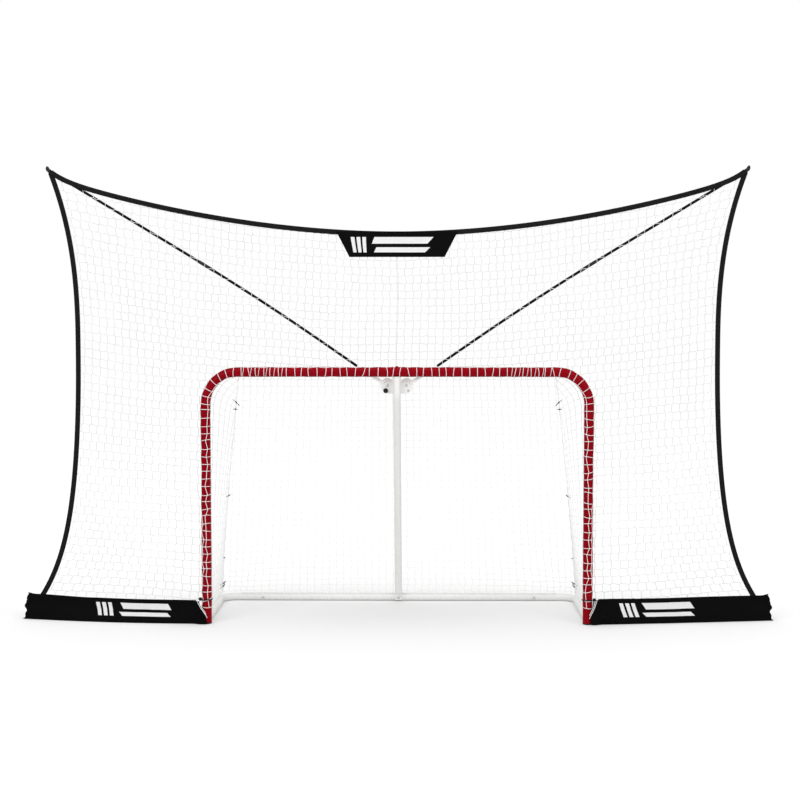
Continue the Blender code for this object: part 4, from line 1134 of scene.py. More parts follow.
@dataclass
class WhiteBase:
    """Base tubes, centre post and their bolts."""

    sides: int = 40
    seam: float = 0.0007
    splice_x: float = 0.690
    bend_steps: int = 20
    rear_steps: int = 24
    post_upright: float = 0.095
    post_bend_run: float = 0.022
    post_bend_steps: int = 14
    post_end_z: float = 0.055
    tab_thickness: float = 0.004
    tab_width: float = 0.034
    tab_bottom: float = 0.006
    tab_top: float = 0.076
    tab_edge: float = 0.001
    weld: float = 0.0022
    weld_drop: float = 0.001
    weld_steps: int = 40
    bolt_bevel: float = 0.0003

    def build(self) -> None:
        """Builds and places the base and the centre post."""
        for side in Side:
            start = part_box(f"{side.word}_base_tube")[0].y
            corners = [(HOOP_X, start, BASE_R), (HOOP_X, REAR_Y, BASE_R), (self.splice_x, REAR_Y, BASE_R)]
            path = bent_path(corners, LAYOUT.base_bend, self.bend_steps)
            made = tube(path, BASE_R, Z_AXIS, self.sides, self.seam).on(side)
            stand_for(made.piece(f"{side.word}_base_side", WHITE_COAT), "root", f"{side.word}_base_tube")
            dressed_copy(f"{side.word}_rear_bolt", STEEL, self.bolt_bevel)
        ends = (-self.splice_x, REAR_Y, BASE_R), (self.splice_x, REAR_Y, BASE_R)
        rear = tube(straight_line(*ends, self.rear_steps), BASE_R, Z_AXIS, self.sides, self.seam)
        stand_for(rear.piece("base_rear", WHITE_COAT), "root", "rear_base_tube")
        self.centre_post()
        dressed_copy("centre_post_foot_bolt", STEEL, self.bolt_bevel)

    def centre_post(self) -> None:
        """Upright tube that bends back to a flat tab on the rear tube, with a weld bead round its top."""
        low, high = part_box("centre_post")
        radius = (high.x - low.x) / 2
        tab_front = REAR_Y - BASE_R - LAYOUT.base_lift - self.tab_thickness
        end_y = tab_front - radius + self.tab_thickness
        knee = high.z - self.post_upright
        lean = math.atan2(end_y - HOOP_Y, knee - self.post_end_z)
        corners = [(0, HOOP_Y, high.z), (0, HOOP_Y, knee), (0, end_y, self.post_end_z)]
        path = bent_path(corners, self.post_bend_run / math.tan(lean / 2), self.post_bend_steps)
        post = tube(path, radius, X_AXIS, self.sides, self.seam)
        thick = self.tab_thickness / 2
        section = rounded_box(self.tab_width / 2, thick, self.tab_edge, 3)
        path = straight_line((0, tab_front + thick, self.tab_bottom), (0, tab_front + thick, self.tab_top), 2)
        tab = swept(path, section, Y_AXIS)
        seat = np.array([0, HOOP_Y, high.z - self.weld_drop])
        weld = swept(seat + ring(radius, self.weld_steps), circle(self.weld, 8), Z_AXIS, loop=True)
        stand_for(joined([post, tab, weld]).piece("centre_post_tube", WHITE_COAT), "root", "centre_post")


# ---- arms ----


@dataclass
class PoleArm:
    """One raised pole: socket, two rods, ferrule, tip and the bolt that it turns on."""

    side: Side
    sides: int = 24
    radius: float = 0.0067
    rod_start: float = 0.088
    rod_steps: int = 32
    rod_chamfer: float = 0.0006
    socket_run: float = 0.176
    socket_bevel: float = 0.0006
    bolt_bevel: float = 0.0004
    joint_run: float = 1.060
    overrun: float = 0.009
    bow: float = 0.018
    bow_lean: float = 0.35
    ferrule_bore: float = 0.0060
    ferrule_radius: float = 0.0082
    ferrule_half: float = 0.045
    ferrule_ease: Pair = (0.0006, 0.001)
    hook_gap: float = 0.0003
    hook_stem: float = 0.010
    hook_bend: float = 0.011
    hook_turn: float = math.radians(105)
    hook_radii: tuple[float, ...] = (0.0094, 0.0092, 0.0090, 0.0080, 0.0045)

    @property
    def length(self) -> float:
        """From the pivot to the net's corner."""
        return math.hypot(OUTLINE.corner_x - PIVOT[0], OUTLINE.corner_z - PIVOT[2])

    @property
    def straight(self) -> Array:
        """Direction from the right pivot to the net's corner."""
        return unit(np.array([OUTLINE.corner_x, ARM_Y, OUTLINE.corner_z]) - PIVOT)

    def along(self, run: Array) -> Array:
        """Points on the right arm's axis at distances from its pivot.

        The net's pull bows the pole up past its socket by bow * sin(pi s) * (1 + lean * cos(pi s)), with s
        from 0 at the socket's mouth to 1 at the corner.

        Args:
            run: distances from the pivot.

        Returns:
            points x 3.
        """
        turn = np.clip((run - self.socket_run) / (self.length - self.socket_run), 0, 1) * math.pi
        offset = self.bow * np.sin(turn) * (1 + self.bow_lean * np.cos(turn))
        return PIVOT + self.straight * run[:, None] + np.cross(self.straight, Y_AXIS) * offset[:, None]

    def build(self) -> None:
        """Builds and places the arm's pieces."""
        word, body = self.side.word, self.side.arm
        joint, end = self.joint_run, self.length + self.overrun
        spans = {"lower": (self.rod_start, joint), "upper": (joint, end)}
        for name, (low, high) in spans.items():
            path = self.along(np.linspace(low, high, self.rod_steps))
            rod = tube(path, self.radius, Y_AXIS, self.sides, self.rod_chamfer).on(self.side)
            stand_for(rod.piece(f"{word}_{name}_rod", FIBREGLASS), body, f"{word}_{name}_pole")
        sleeve = self.ferrule().on(self.side).piece(f"{word}_rod_sleeve", BLACK_PLASTIC)
        stand_for(sleeve, body, f"{word}_pole_ferrule")
        hook = self.hook().on(self.side).piece(f"{word}_rod_hook", BLACK_PLASTIC)
        stand_for(hook, body, f"{word}_pole_tip")
        dressed_copy(f"{word}_arm_socket", BRIGHTENED_WHITE_COAT, self.socket_bevel)
        dressed_copy(f"{word}_pivot_bolt", STEEL, self.bolt_bevel)

    def ferrule(self) -> Shell:
        """Turned sleeve over the joint of the two rods, with eased ends."""
        half, outer = self.ferrule_half, self.ferrule_radius
        side_ease, end_ease = self.ferrule_ease
        profile = [(self.ferrule_bore, -half), (outer - side_ease, -half), (outer, -half + end_ease)]
        profile += [(radius, -height) for radius, height in reversed(profile)]
        before, middle, after = self.along(self.joint_run + np.array([-0.01, 0.0, 0.01]))
        return turned(profile, middle, after - before, self.sides)

    def hook(self) -> Shell:
        """Moulded hook on the pole's end, which curls up and in over the corner loop."""
        up = np.cross(self.straight, Y_AXIS)
        start = self.along(np.array([self.length + self.hook_gap]))[0]
        stem = start + self.straight * np.linspace(0, self.hook_stem, 3)[:, None]
        angle = np.linspace(0, self.hook_turn, 12)[:, None]
        curl = stem[-1] + self.hook_bend * (np.sin(angle) * self.straight + (1 - np.cos(angle)) * up)
        path = np.concatenate([stem, curl[1:]])
        last = len(path) - 1
        radii = np.interp(np.arange(last + 1), [0, 2, 9, last - 1, last], self.hook_radii)
        return swept(path, circle(1.0, 16)[None] * radii[:, None, None], Y_AXIS)


# ---- twine ----


@dataclass(frozen=True)
class Wave:
    """A sine wave over a surface, in radians per metre: sin(u * across + v * up + start)."""

    across: float = 0.0
    up: float = 0.0
    start: float = 0.0

    def at(self, u: Array, v: Array) -> Array:
        """The wave's height, from -1 to 1."""
        return np.sin(u * self.across + v * self.up + self.start)


@dataclass
class Netting:
    """Square netting with staggered knots, laid flat, then warped, trimmed and lifted into place."""

    pitch_u: float
    pitch_v: float
    twine: float
    knot: float
    seed: int
    jitter: float = 0.0012
    kink: float = 0.0022
    shortest: float = 0.001

    def laid(self, low: Pair, high: Pair, stagger: Callable[[Array, Array], Array]) -> tuple[Array, ...]:
        """Lays rows and columns on a flat grid.

        A column between rows j and j + 1 is shifted by half a stagger, to the right for even j, else to the
        left. So each row has two knots at each column, and it is drawn up at one and down at the other.

        Args:
            low: lowest corner of the grid.
            high: highest corner.
            stagger: share of a pitch between neighbouring columns' ends, at places of the grid.

        Returns:
            The strands' starts and ends, and the knots, each as points x 2.
        """
        random = np.random.default_rng(self.seed)
        across = np.arange(low[0], high[0] + self.pitch_u, self.pitch_u)
        up = np.arange(low[1], high[1] + self.pitch_v, self.pitch_v)
        u, v = np.meshgrid(across, up)
        u = u + random.normal(0, self.jitter, u.shape)
        v = v + random.normal(0, self.jitter, v.shape)
        parity = np.where(np.arange(len(up)) % 2 == 0, 1.0, -1.0)[:, None]
        half = stagger(u, v) * self.pitch_u / 2
        before = np.stack([u - half, v - self.kink * parity], axis=-1)
        after = np.stack([u + half, v + self.kink * parity], axis=-1)
        above = np.where(parity[..., None] > 0, after, before)
        below = np.where(parity[..., None] > 0, before, after)
        groups = (before, after[:, :-1], above[:-1]), (after, before[:, 1:], below[1:]), (before, after)
        return tuple(np.concatenate([part.reshape(-1, 2) for part in group]) for group in groups)

    def spun(self, laid: Sequence[Array], clearance: Formula, lift: Formula, facing: Array) -> Shell:
        """Trims strands where the clearance turns negative, and gives them their twine.

        Args:
            laid: starts, ends and knots in the net's plane.
            clearance: a length that is positive where there is net.
            lift: takes points of the plane into space.
            facing: the direction that the net faces.

        Returns:
            One shell.
        """
        starts, ends, tied = laid
        near, far = clearance(starts), clearance(ends)
        kept = (near > 0) | (far > 0)
        starts, ends, near, far = starts[kept], ends[kept], near[kept], far[kept]
        share = np.clip(near / np.where(near == far, 1.0, near - far), 0, 1)[:, None]
        crossing = starts + (ends - starts) * share
        new_ends = np.where((far < 0)[:, None], crossing, ends)
        new_starts = np.where((near < 0)[:, None], crossing, starts)
        long_enough = np.linalg.norm(new_ends - new_starts, axis=1) > self.shortest
        low, high = lift(new_starts[long_enough]), lift(new_ends[long_enough])
        lumps = lift(tied[clearance(tied) > 0])
        return joined([strands(low, high, self.twine, facing), knots(lumps, self.knot, np.abs(facing))])


@dataclass
class BackstopNet:
    """White netting round the hoop: a lower piece beside each post and an upper one above it."""

    pitch: float = 0.0375
    twine: float = 0.00115
    knot: float = 0.0023
    seeds: tuple[int, int] = (11, 23)
    tucked: float = 0.016
    margin: float = 0.0122
    overlap: float = 0.05
    slope_low: float = 0.22
    slope_power: float = 1.6
    slope_end: float = 1.05
    draw_power: float = 1.5
    ripple: float = 0.004
    row_waves: tuple[Wave, Wave] = (Wave(9.1, 3.0), Wave(0.0, 7.3, 0.6))
    column_wave: Wave = Wave(2.0, 8.7)
    drape: float = 0.0012
    drape_waves: tuple[Wave, Wave] = (Wave(13.0), Wave(0.0, 11.0))
    stagger_middle: float = 0.16
    stagger_wander: float = 0.10
    stagger_waves: tuple[Wave, Wave] = (Wave(4.1, 0.0, 1.0), Wave(0.0, 3.7))
    stagger_corner: float = 0.36
    stagger_limits: Pair = (0.06, 0.55)
    corner_reach: float = 0.5
    corner_top: float = 1.0
    corner_depth: float = 0.9

    def warp(self, points: Array) -> Array:
        """Slopes the rows with the top edge, most at the top, and draws the outer columns to the side edge.

        Args:
            points: places on the flat grid.

        Returns:
            Places in the net's plane.
        """
        u, v = points.T
        share = np.clip((v - SLEEVE_TOP) / (OUTLINE.top_middle - SLEEVE_TOP), 0, self.slope_end)
        slope = self.slope_low + (1 - self.slope_low) * share**self.slope_power
        z = v + OUTLINE.rise(np.minimum(np.abs(u), OUTLINE.corner_x)) * slope
        z = z + self.ripple * self.row_waves[0].at(u, v) * self.row_waves[1].at(u, v)
        outer = np.clip((np.abs(u) - OUTSIDE_X) / (OUTLINE.waist_x - OUTSIDE_X), 0, 1)
        x = u + np.sign(u) * (OUTLINE.side(z) - OUTLINE.waist_x) * outer**self.draw_power
        return np.stack([x + self.ripple * self.column_wave.at(u, v), z], axis=1)

    def stagger(self, u: Array, v: Array) -> Array:
        """Share of a pitch between column ends: small in most places, near half in the low outer corners."""
        out = np.clip((np.abs(u) - OUTSIDE_X) / self.corner_reach, 0, 1)
        low = np.clip((self.corner_top - v) / self.corner_depth, 0, 1)
        wander = self.stagger_wander * self.stagger_waves[0].at(u, v) * self.stagger_waves[1].at(u, v)
        return np.clip(self.stagger_middle + wander + self.stagger_corner * out * low, *self.stagger_limits)

    def lift(self, points: Array) -> Array:
        """Takes points of the net's plane into space, with a ripple of a millimetre or so."""
        x, z = points.T
        ripple = self.drape * self.drape_waves[0].at(x, z) * self.drape_waves[1].at(x, z)
        return np.stack([x, HOOP_Y + OUTLINE.net_set_back(x, z) + ripple, z], axis=1)

    def build(self) -> None:
        """Builds the four pieces of the net."""
        for side in Side:
            for upper in (True, False):
                self.part(side, upper)

    def part(self, side: Side, upper: bool) -> None:
        """Builds one piece.

        Args:
            side: which side of the middle it covers.
            upper: whether it lies above the hoop's bend or beside the post.
        """
        seed = self.seeds[0 if side is Side.LEFT else 1]
        net = Netting(self.pitch, self.pitch, self.twine, self.knot, seed)
        high = (OUTLINE.waist_x, OUTLINE.top_middle + self.overlap)
        laid = net.laid((0.0, -self.overlap), high, self.stagger)
        flat = [part * np.array([side.value, 1]) for part in laid]

        def clearance(points: Array) -> Array:
            """Inside the edges, on the wanted side of the seam at the bend's height."""
            inside = OUTLINE.clearance(*points.T, self.margin, self.tucked)
            above = points[:, 1] - BEND_Z
            return np.minimum(inside, above if upper else -above)

        shell = net.spun([self.warp(part) for part in flat], clearance, self.lift, Y_AXIS)
        level = "upper" if upper else "lower"
        made = shell.piece(f"{side.word}_{level}_backstop_netting", BACKSTOP_TWINE)
        nodes = [f"{side.word}_backstop_{level}_net"] + (["backstop_top_net"] if upper else [])
        blend_edge(made, side, upper)
        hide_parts(*nodes)
        LOG.info("%s has %d faces", made.name, len(made.data.polygons))


def blend_edge(made: bpy.types.Object, side: Side, upper: bool) -> None:
    """Bakes a piece of the backstop's place into its mesh; it follows neither the hoop nor an arm.

    Args:
        made: the piece.
        side: not used.
        upper: True for the raised pole, False for the ground arm.
    """
    if upper:
        side.arm
        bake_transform(made)
    else:
        side.wing
        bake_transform(made)


@dataclass
class GoalNet:
    """White netting of the goal: a sloping back, two sides that meet it in a seam, and its ties."""

    pitch: float = 0.038
    twine: float = 0.00105
    back_twine: float = 0.00080
    knot: float = 0.0020
    kink: float = 0.0012
    jitter: float = 0.0014
    seeds: tuple[int, int] = (5, 31)
    stagger: Pair = (0.08, 0.05)
    back_wave: Wave = Wave(5.0, 4.0)
    side_wave: Wave = Wave(9.0, 4.0)
    set_back: float = 0.060
    seam_power: float = 1.15
    hem: float = 0.006
    top_gap: float = 0.002
    draw_in: float = 0.75
    bunch: float = 0.22
    bunch_x: float = 0.97
    bunch_reach: float = 0.24
    row_sag: float = 0.010
    row_sag_wave: float = 3.0
    belly: float = 0.012
    fold: float = 0.016
    fold_turns: float = 16.0
    fold_reach: float = 0.16
    fold_width: float = 0.13
    rail_back: float = 0.8
    rail_in: float = 0.2
    panel_depth: float = 0.62
    panel_hang: float = 0.020
    seam_cord: float = 0.0013
    seam_steps: int = 60
    seam_sway: float = 0.0015
    border_cord: float = 0.0024
    border_sway: float = 0.001
    lashing: float = 0.0011
    lashing_gap: float = 0.0016
    lashing_from: float = 0.56
    lashing_lean: float = 0.004
    ties: tuple[tuple[float, float, float, float], ...] = (
        (1.084, 0.017, 0.015, 0.0019),
        (1.050, 0.012, -0.001, 0.0016),
        (0.590, 0.012, -0.009, 0.0019),
        (0.243, 0.009, -0.002, 0.0015),
        (0.095, 0.015, -0.012, 0.0026),
        (0.078, 0.012, -0.014, 0.0022),
    )  # height, half length across and up, and radius of each black tie

    def share_up(self, z: Array) -> Array:
        """Share of the way from the base to the crossbar."""
        return np.clip((z - BASE_TOP) / (HOOP_Z - BASE_TOP), 0, 1)

    def slope_y(self, z: Array) -> Array:
        """Place of the back at a height."""
        start = HOOP_Y + self.set_back
        return start + (REAR_Y - start) * (HOOP_Z - z) / (HOOP_Z - BASE_TOP)

    def seam_x(self, z: Array) -> Array:
        """Half width of the back at a height: wide at the base and drawn in towards the top."""
        return HOOP_X - (HOOP_X - BEND_X) * self.share_up(z) ** self.seam_power

    def netting(self, pitch_v: float, twine: float, seed: int) -> Netting:
        """The netting of one piece, knotted as the whole net is."""
        return Netting(self.pitch, pitch_v, twine, self.knot, seed, self.jitter, self.kink)

    def build(self) -> None:
        """Builds the back, both sides, the seams and the black ties."""
        self.back()
        for side in Side:
            self.panel(side)
            self.seam(side)
        self.top_edge()

    def warp(self, points: Array) -> Array:
        """Draws the back's columns in with the seam, and its lower corners into bunched folds.

        A place at distance r from a corner moves towards it by bunch * exp(-(r / reach)^2) of the way.

        Args:
            points: places on the flat grid.

        Returns:
            Places in the back's plane.
        """
        u, v = points.T
        x = u * (1 - self.draw_in * (1 - self.seam_x(v) / HOOP_X))
        out, up = np.abs(x) - HOOP_X * self.bunch_x, v - BASE_TOP
        pull = self.bunch * np.exp(-((np.hypot(out, up) / self.bunch_reach) ** 2))
        x = x - np.sign(x) * out * pull
        sag = self.row_sag * np.sin(np.abs(x) / HOOP_X * math.pi / 2) * np.sin(up * self.row_sag_wave)
        return np.stack([x, v - up * pull - sag], axis=1)

    def lift(self, points: Array) -> Array:
        """Puts the back's points on its slope, which bellies out and folds near its lower corners."""
        x, z = points.T
        belly = self.belly * np.sin(self.share_up(z) * math.pi) * np.cos(x / HOOP_X * math.pi / 2)
        out, up = HOOP_X - np.abs(x), z - BASE_TOP
        reach, turn = np.hypot(out, up), np.arctan2(up, out + 1e-6)
        near = np.exp(-(((reach - self.fold_reach) / self.fold_width) ** 2))
        fold = self.fold * np.sin(turn * self.fold_turns) * near
        return np.stack([x, self.slope_y(z) - belly + fold - self.top_gap, z], axis=1)

    def back(self) -> None:
        """Back of the net, bunched into its lower corners."""
        lean = math.hypot(1, (REAR_Y - HOOP_Y - self.set_back) / (HOOP_Z - BASE_TOP))
        net = self.netting(self.pitch / lean, self.back_twine, self.seeds[0])
        middle, swing = self.stagger
        low, high = (-HOOP_X, BASE_TOP - 0.02), (HOOP_X, HOOP_Z)
        flat = net.laid(low, high, lambda u, v: middle + swing * self.back_wave.at(u, v))

        def clearance(points: Array) -> Array:
            """Inside the seams, over the base tube and under the crossbar."""
            x, z = points.T
            inside = self.seam_x(z) - np.abs(x)
            return np.minimum(inside, np.minimum(z - BASE_TOP + self.hem, HOOP_Z - self.top_gap - z))

        shell = net.spun([self.warp(part) for part in flat], clearance, self.lift, Y_AXIS)
        stand_for(shell.piece("goal_back_netting", GOAL_TWINE), "root", "goal_back_net")

    def rails(self, run: Array) -> tuple[Array, Array]:
        """The two edges of a side panel by run up the hoop: on the hoop's inner face, and on the seam."""
        front, outward = hoop_points(run)
        front = front + Y_AXIS * HOOP_R * self.rail_back - outward * HOOP_R * self.rail_in
        z = np.maximum(run * HOOP_Z / (BEND_Z + BEND_RUN), BASE_TOP)
        return front, np.stack([self.seam_x(z), self.slope_y(z), z], axis=1)

    def panel(self, side: Side) -> None:
        """Side of the net: a ruled surface from the hoop back to the seam.

        Args:
            side: which side it closes.
        """
        top = BEND_Z + BEND_RUN
        net = self.netting(self.pitch, self.twine, self.seeds[1] + side.value)
        middle, swing = self.stagger
        low, high = (0.0, BASE_TOP - 0.01), (self.panel_depth, top)
        flat = net.laid(low, high, lambda u, v: middle + swing * self.side_wave.at(u, v))

        def width(run: Array) -> Array:
            """Distance between the two edges."""
            front, rear = self.rails(run)
            return np.linalg.norm(rear - front, axis=1)

        def clearance(points: Array) -> Array:
            """Between the edges, over the base tube."""
            a, run = points.T
            across = np.minimum(a + 1e-4, width(run) - a)
            return np.minimum(across, np.minimum(run - BASE_TOP + self.hem, top - run))

        def lift(points: Array) -> Array:
            """Onto the ruled surface, which hangs in a little."""
            a, run = points.T
            front, rear = self.rails(run)
            share = (a / np.maximum(width(run), 1e-3))[:, None]
            up = np.sin(np.clip(run / top, 0, 1) * math.pi)[:, None]
            hang = self.panel_hang * np.sin(np.clip(share, 0, 1) * math.pi) * up
            return (front + (rear - front) * share - X_AXIS * hang) * np.array([side.value, 1, 1])

        shell = net.spun(flat, clearance, lift, X_AXIS)
        made = shell.piece(f"{side.word}_goal_side_netting", GOAL_TWINE)
        stand_for(made, "root", f"{side.word}_goal_side_net")

    def seam(self, side: Side) -> None:
        """Cord down the edge between back and side, with black ties knotted on it.

        Args:
            side: which side's seam.
        """
        z = np.linspace(BASE_TOP, HOOP_Z - 0.01, self.seam_steps)
        path = np.stack([self.seam_x(z), self.slope_y(z), z], axis=1)
        path = path + self.seam_sway * np.sin(np.arange(self.seam_steps) * 1.9)[:, None] * X_AXIS
        cord = tube(path, self.seam_cord, X_AXIS, 8).on(side)
        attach(cord.piece(f"{side.word}_goal_seam_cord", GOAL_TWINE), "root")
        tails = []
        for height, reach, rise, radius in self.ties:
            at = np.array([float(self.seam_x(height)), float(self.slope_y(height)) - 0.005, height])
            turns = [[reach, 0, rise], [-0.002, -0.006, 0.003], [0, 0, 0], [-0.003, -0.004, -0.001]]
            ends = at + np.array([*turns, [-reach, -0.004, -rise]])
            tails.append(tube(smooth_path(ends, 6), radius, Y_AXIS + 0.1 * Z_AXIS, 8))
            tails.append(bead(0.003, 0.0042, 0.003, 0.004, at, Z_AXIS, 10))
        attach(joined(tails).on(side).piece(f"{side.word}_goal_seam_ties", BLACK_PLASTIC), "root")

    def top_edge(self) -> None:
        """Border cord along the top of the back, and short lashings to the crossbar clear of the poles."""
        z = HOOP_Z - self.top_gap
        y = float(self.slope_y(z))
        x = np.linspace(-BEND_X, BEND_X, 90)
        cord = np.stack([x, np.full_like(x, y), z + self.border_sway * np.sin(x * 60)], axis=1)
        parts = [tube(cord, self.border_cord, Z_AXIS, 8)]
        places = np.arange(self.lashing_from, BEND_X, self.pitch)
        angle = np.linspace(math.radians(40), math.radians(320), 22)
        reach = HOOP_R + self.lashing_gap
        for place in np.concatenate([places, -places]):
            turn = [place + self.lashing_lean * np.sin(angle), HOOP_Y + reach * np.cos(angle)]
            loop = np.stack([*turn, HOOP_Z + reach * np.sin(angle)], axis=1)
            knot = np.array([[place, y, z]])
            parts.append(tube(np.concatenate([knot, loop, knot]), self.lashing, X_AXIS, 6))
        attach(joined(parts).piece("goal_top_lashing", GOAL_TWINE), "root")


@dataclass
class HoopWrap:
    """Netting round the red tube: a ring every mesh, joined by strands that zigzag along front and back."""

    pitch: float = 0.0372
    twine: float = 0.0014
    knot: float = 1.9
    start: float = 0.085
    lift: float = 0.0012
    seed: int = 3
    ring_drift: float = 0.0022
    ring_tilt: float = 0.0042
    ring_steps: int = 24
    strand_drift: float = 0.13
    strand_swing: float = 0.22
    swing_wave: float = 5.1
    bar_calm: float = 0.5
    lines: tuple[Triple, ...] = (
        (-0.30, -1.45, 0.10),
        (0.95, 1.22, 0.12),
        (2.35, 2.35, 0.14),
        (-1.90, -2.30, 0.14),
    )  # angle round the post and round the crossbar, and sway, of each strand along the tube

    def build(self) -> None:
        """Builds the wrap of both halves, which meets in the middle of the crossbar."""
        for side in Side:
            self.half(side)

    def surface(self, run: Array, angle: Array) -> Array:
        """Points just off the tube: angle 0 faces the front, and a quarter turn faces out of the hoop."""
        centre, outward = hoop_points(run)
        reach = HOOP_R + self.lift
        return centre + reach * (np.cos(angle)[:, None] * -Y_AXIS + np.sin(angle)[:, None] * outward)

    def half(self, side: Side) -> None:
        """Rings and zigzag strands of one half.

        Args:
            side: which half.
        """
        random = np.random.default_rng(self.seed + side.value)
        count = round((HALF_HOOP - self.start) / self.pitch - 0.5)
        runs = self.start + np.arange(count + 1) * (HALF_HOOP - self.start) / (count + 0.5)
        runs = runs + random.normal(0, self.ring_drift, len(runs))
        tilt = random.normal(0, self.ring_tilt, len(runs))
        phase = random.uniform(0, 2 * math.pi, len(runs))
        angle = np.linspace(0, 2 * math.pi, self.ring_steps, endpoint=False)
        section = circle(self.twine, 6)
        parts = []
        for run, lean, turn in zip(runs, tilt, phase):
            here = np.minimum(run + lean * np.cos(angle - turn), HALF_HOOP)
            across = hoop_points(np.array([run]))[1][0] * 0.01 + Y_AXIS
            parts.append(swept(self.surface(here, angle), section, across, loop=True))
        along_bar = np.clip((runs - BEND_Z) / BEND_RUN, 0, 1)
        parity = np.where(np.arange(len(runs)) % 2 == 0, 1, -1)
        for on_post, on_bar, sway in self.lines:
            middle = on_post + (on_bar - on_post) * along_bar
            drift = self.strand_swing * np.sin(runs * self.swing_wave + on_post * 3)
            drift = drift + random.normal(0, self.strand_drift, len(runs))
            zigzag = middle + sway * parity + drift * (1 - self.bar_calm * along_bar)
            tied = self.surface(runs, zigzag)
            between = self.surface((runs[:-1] + runs[1:]) / 2, (zigzag[:-1] + zigzag[1:]) / 2)
            parts.append(strands(tied[:-1], between, self.twine, ASKEW, 6))
            parts.append(strands(between, tied[1:], self.twine, ASKEW, 6))
            parts.append(knots(tied, self.twine * self.knot, Y_AXIS))
        made = joined(parts).on(side).piece(f"{side.word}_hoop_wrap", GOAL_TWINE)
        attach(made, "root")
        LOG.info("%s has %d faces", made.name, len(made.data.polygons))


@dataclass
class BaseLacing:
    """Cord wound round the base tubes, which ties the lower edge of the goal net down."""

    pitch: float = 0.038
    twine: float = 0.0014
    turn_steps: int = 14
    rear_half: float = 0.81
    side_gap: float = 0.02
    hem_half: float = 0.84
    hem_steps: int = 900
    hem_cord: float = 0.0013
    hem_back: float = 0.010
    hem_lift: float = 0.0012
    hem_wind: Pair = (0.0022, 0.0012)

    def build(self) -> None:
        """Builds the lacing of the rear tube and of both side tubes."""
        rear = self.coil((-self.rear_half, REAR_Y, BASE_R), X_AXIS, 2 * self.rear_half, Y_AXIS)
        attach(rear.piece("rear_base_lacing", GOAL_TWINE), "root")
        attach(self.hem().piece("rear_hem_cord", GOAL_TWINE), "root")
        low = HOOP_Y + HOOP_R + self.side_gap
        for side in Side:
            made = self.coil((HOOP_X, low, BASE_R), Y_AXIS, REAR_Y - LAYOUT.base_bend - low, X_AXIS)
            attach(made.on(side).piece(f"{side.word}_base_lacing", GOAL_TWINE), "root")

    def hem(self) -> Shell:
        """The net's lower border on the rear tube: two cords wound round each other, bunched at each mesh."""
        x = np.linspace(-self.hem_half, self.hem_half, self.hem_steps)
        least, more = self.hem_wind
        wind = least + more * np.sin(x / self.pitch * 2 * math.pi) ** 2
        parts = []
        for turn in (0.0, math.pi):
            angle = x / self.pitch * math.pi + turn
            y = REAR_Y - self.hem_back + wind * np.cos(angle)
            z = BASE_TOP + self.hem_lift + wind * (1 + np.sin(angle)) / 2
            parts.append(tube(np.stack([x, y, z], axis=1), self.hem_cord, Y_AXIS, 6))
        return joined(parts)

    def coil(self, start: Sequence[float], along: Array, length: float, out: Array) -> Shell:
        """A helix round a straight tube that stays over the floor.

        Args:
            start: where it starts on the tube's axis.
            along: the axis' direction.
            length: how far it runs.
            out: a level direction square to the axis.

        Returns:
            The shell.
        """
        s = np.linspace(0, length, int(length / self.pitch * self.turn_steps))
        angle = s / self.pitch * 2 * math.pi
        turned_out = np.cos(angle)[:, None] * out + np.sin(angle)[:, None] * Z_AXIS
        path = np.asarray(start) + s[:, None] * along + (BASE_R + self.twine) * turned_out
        path[:, 2] = np.maximum(path[:, 2], self.twine)
        return tube(path, self.twine, Z_AXIS + 0.3 * out, 6)


# ---- webbing, banner and sleeves ----


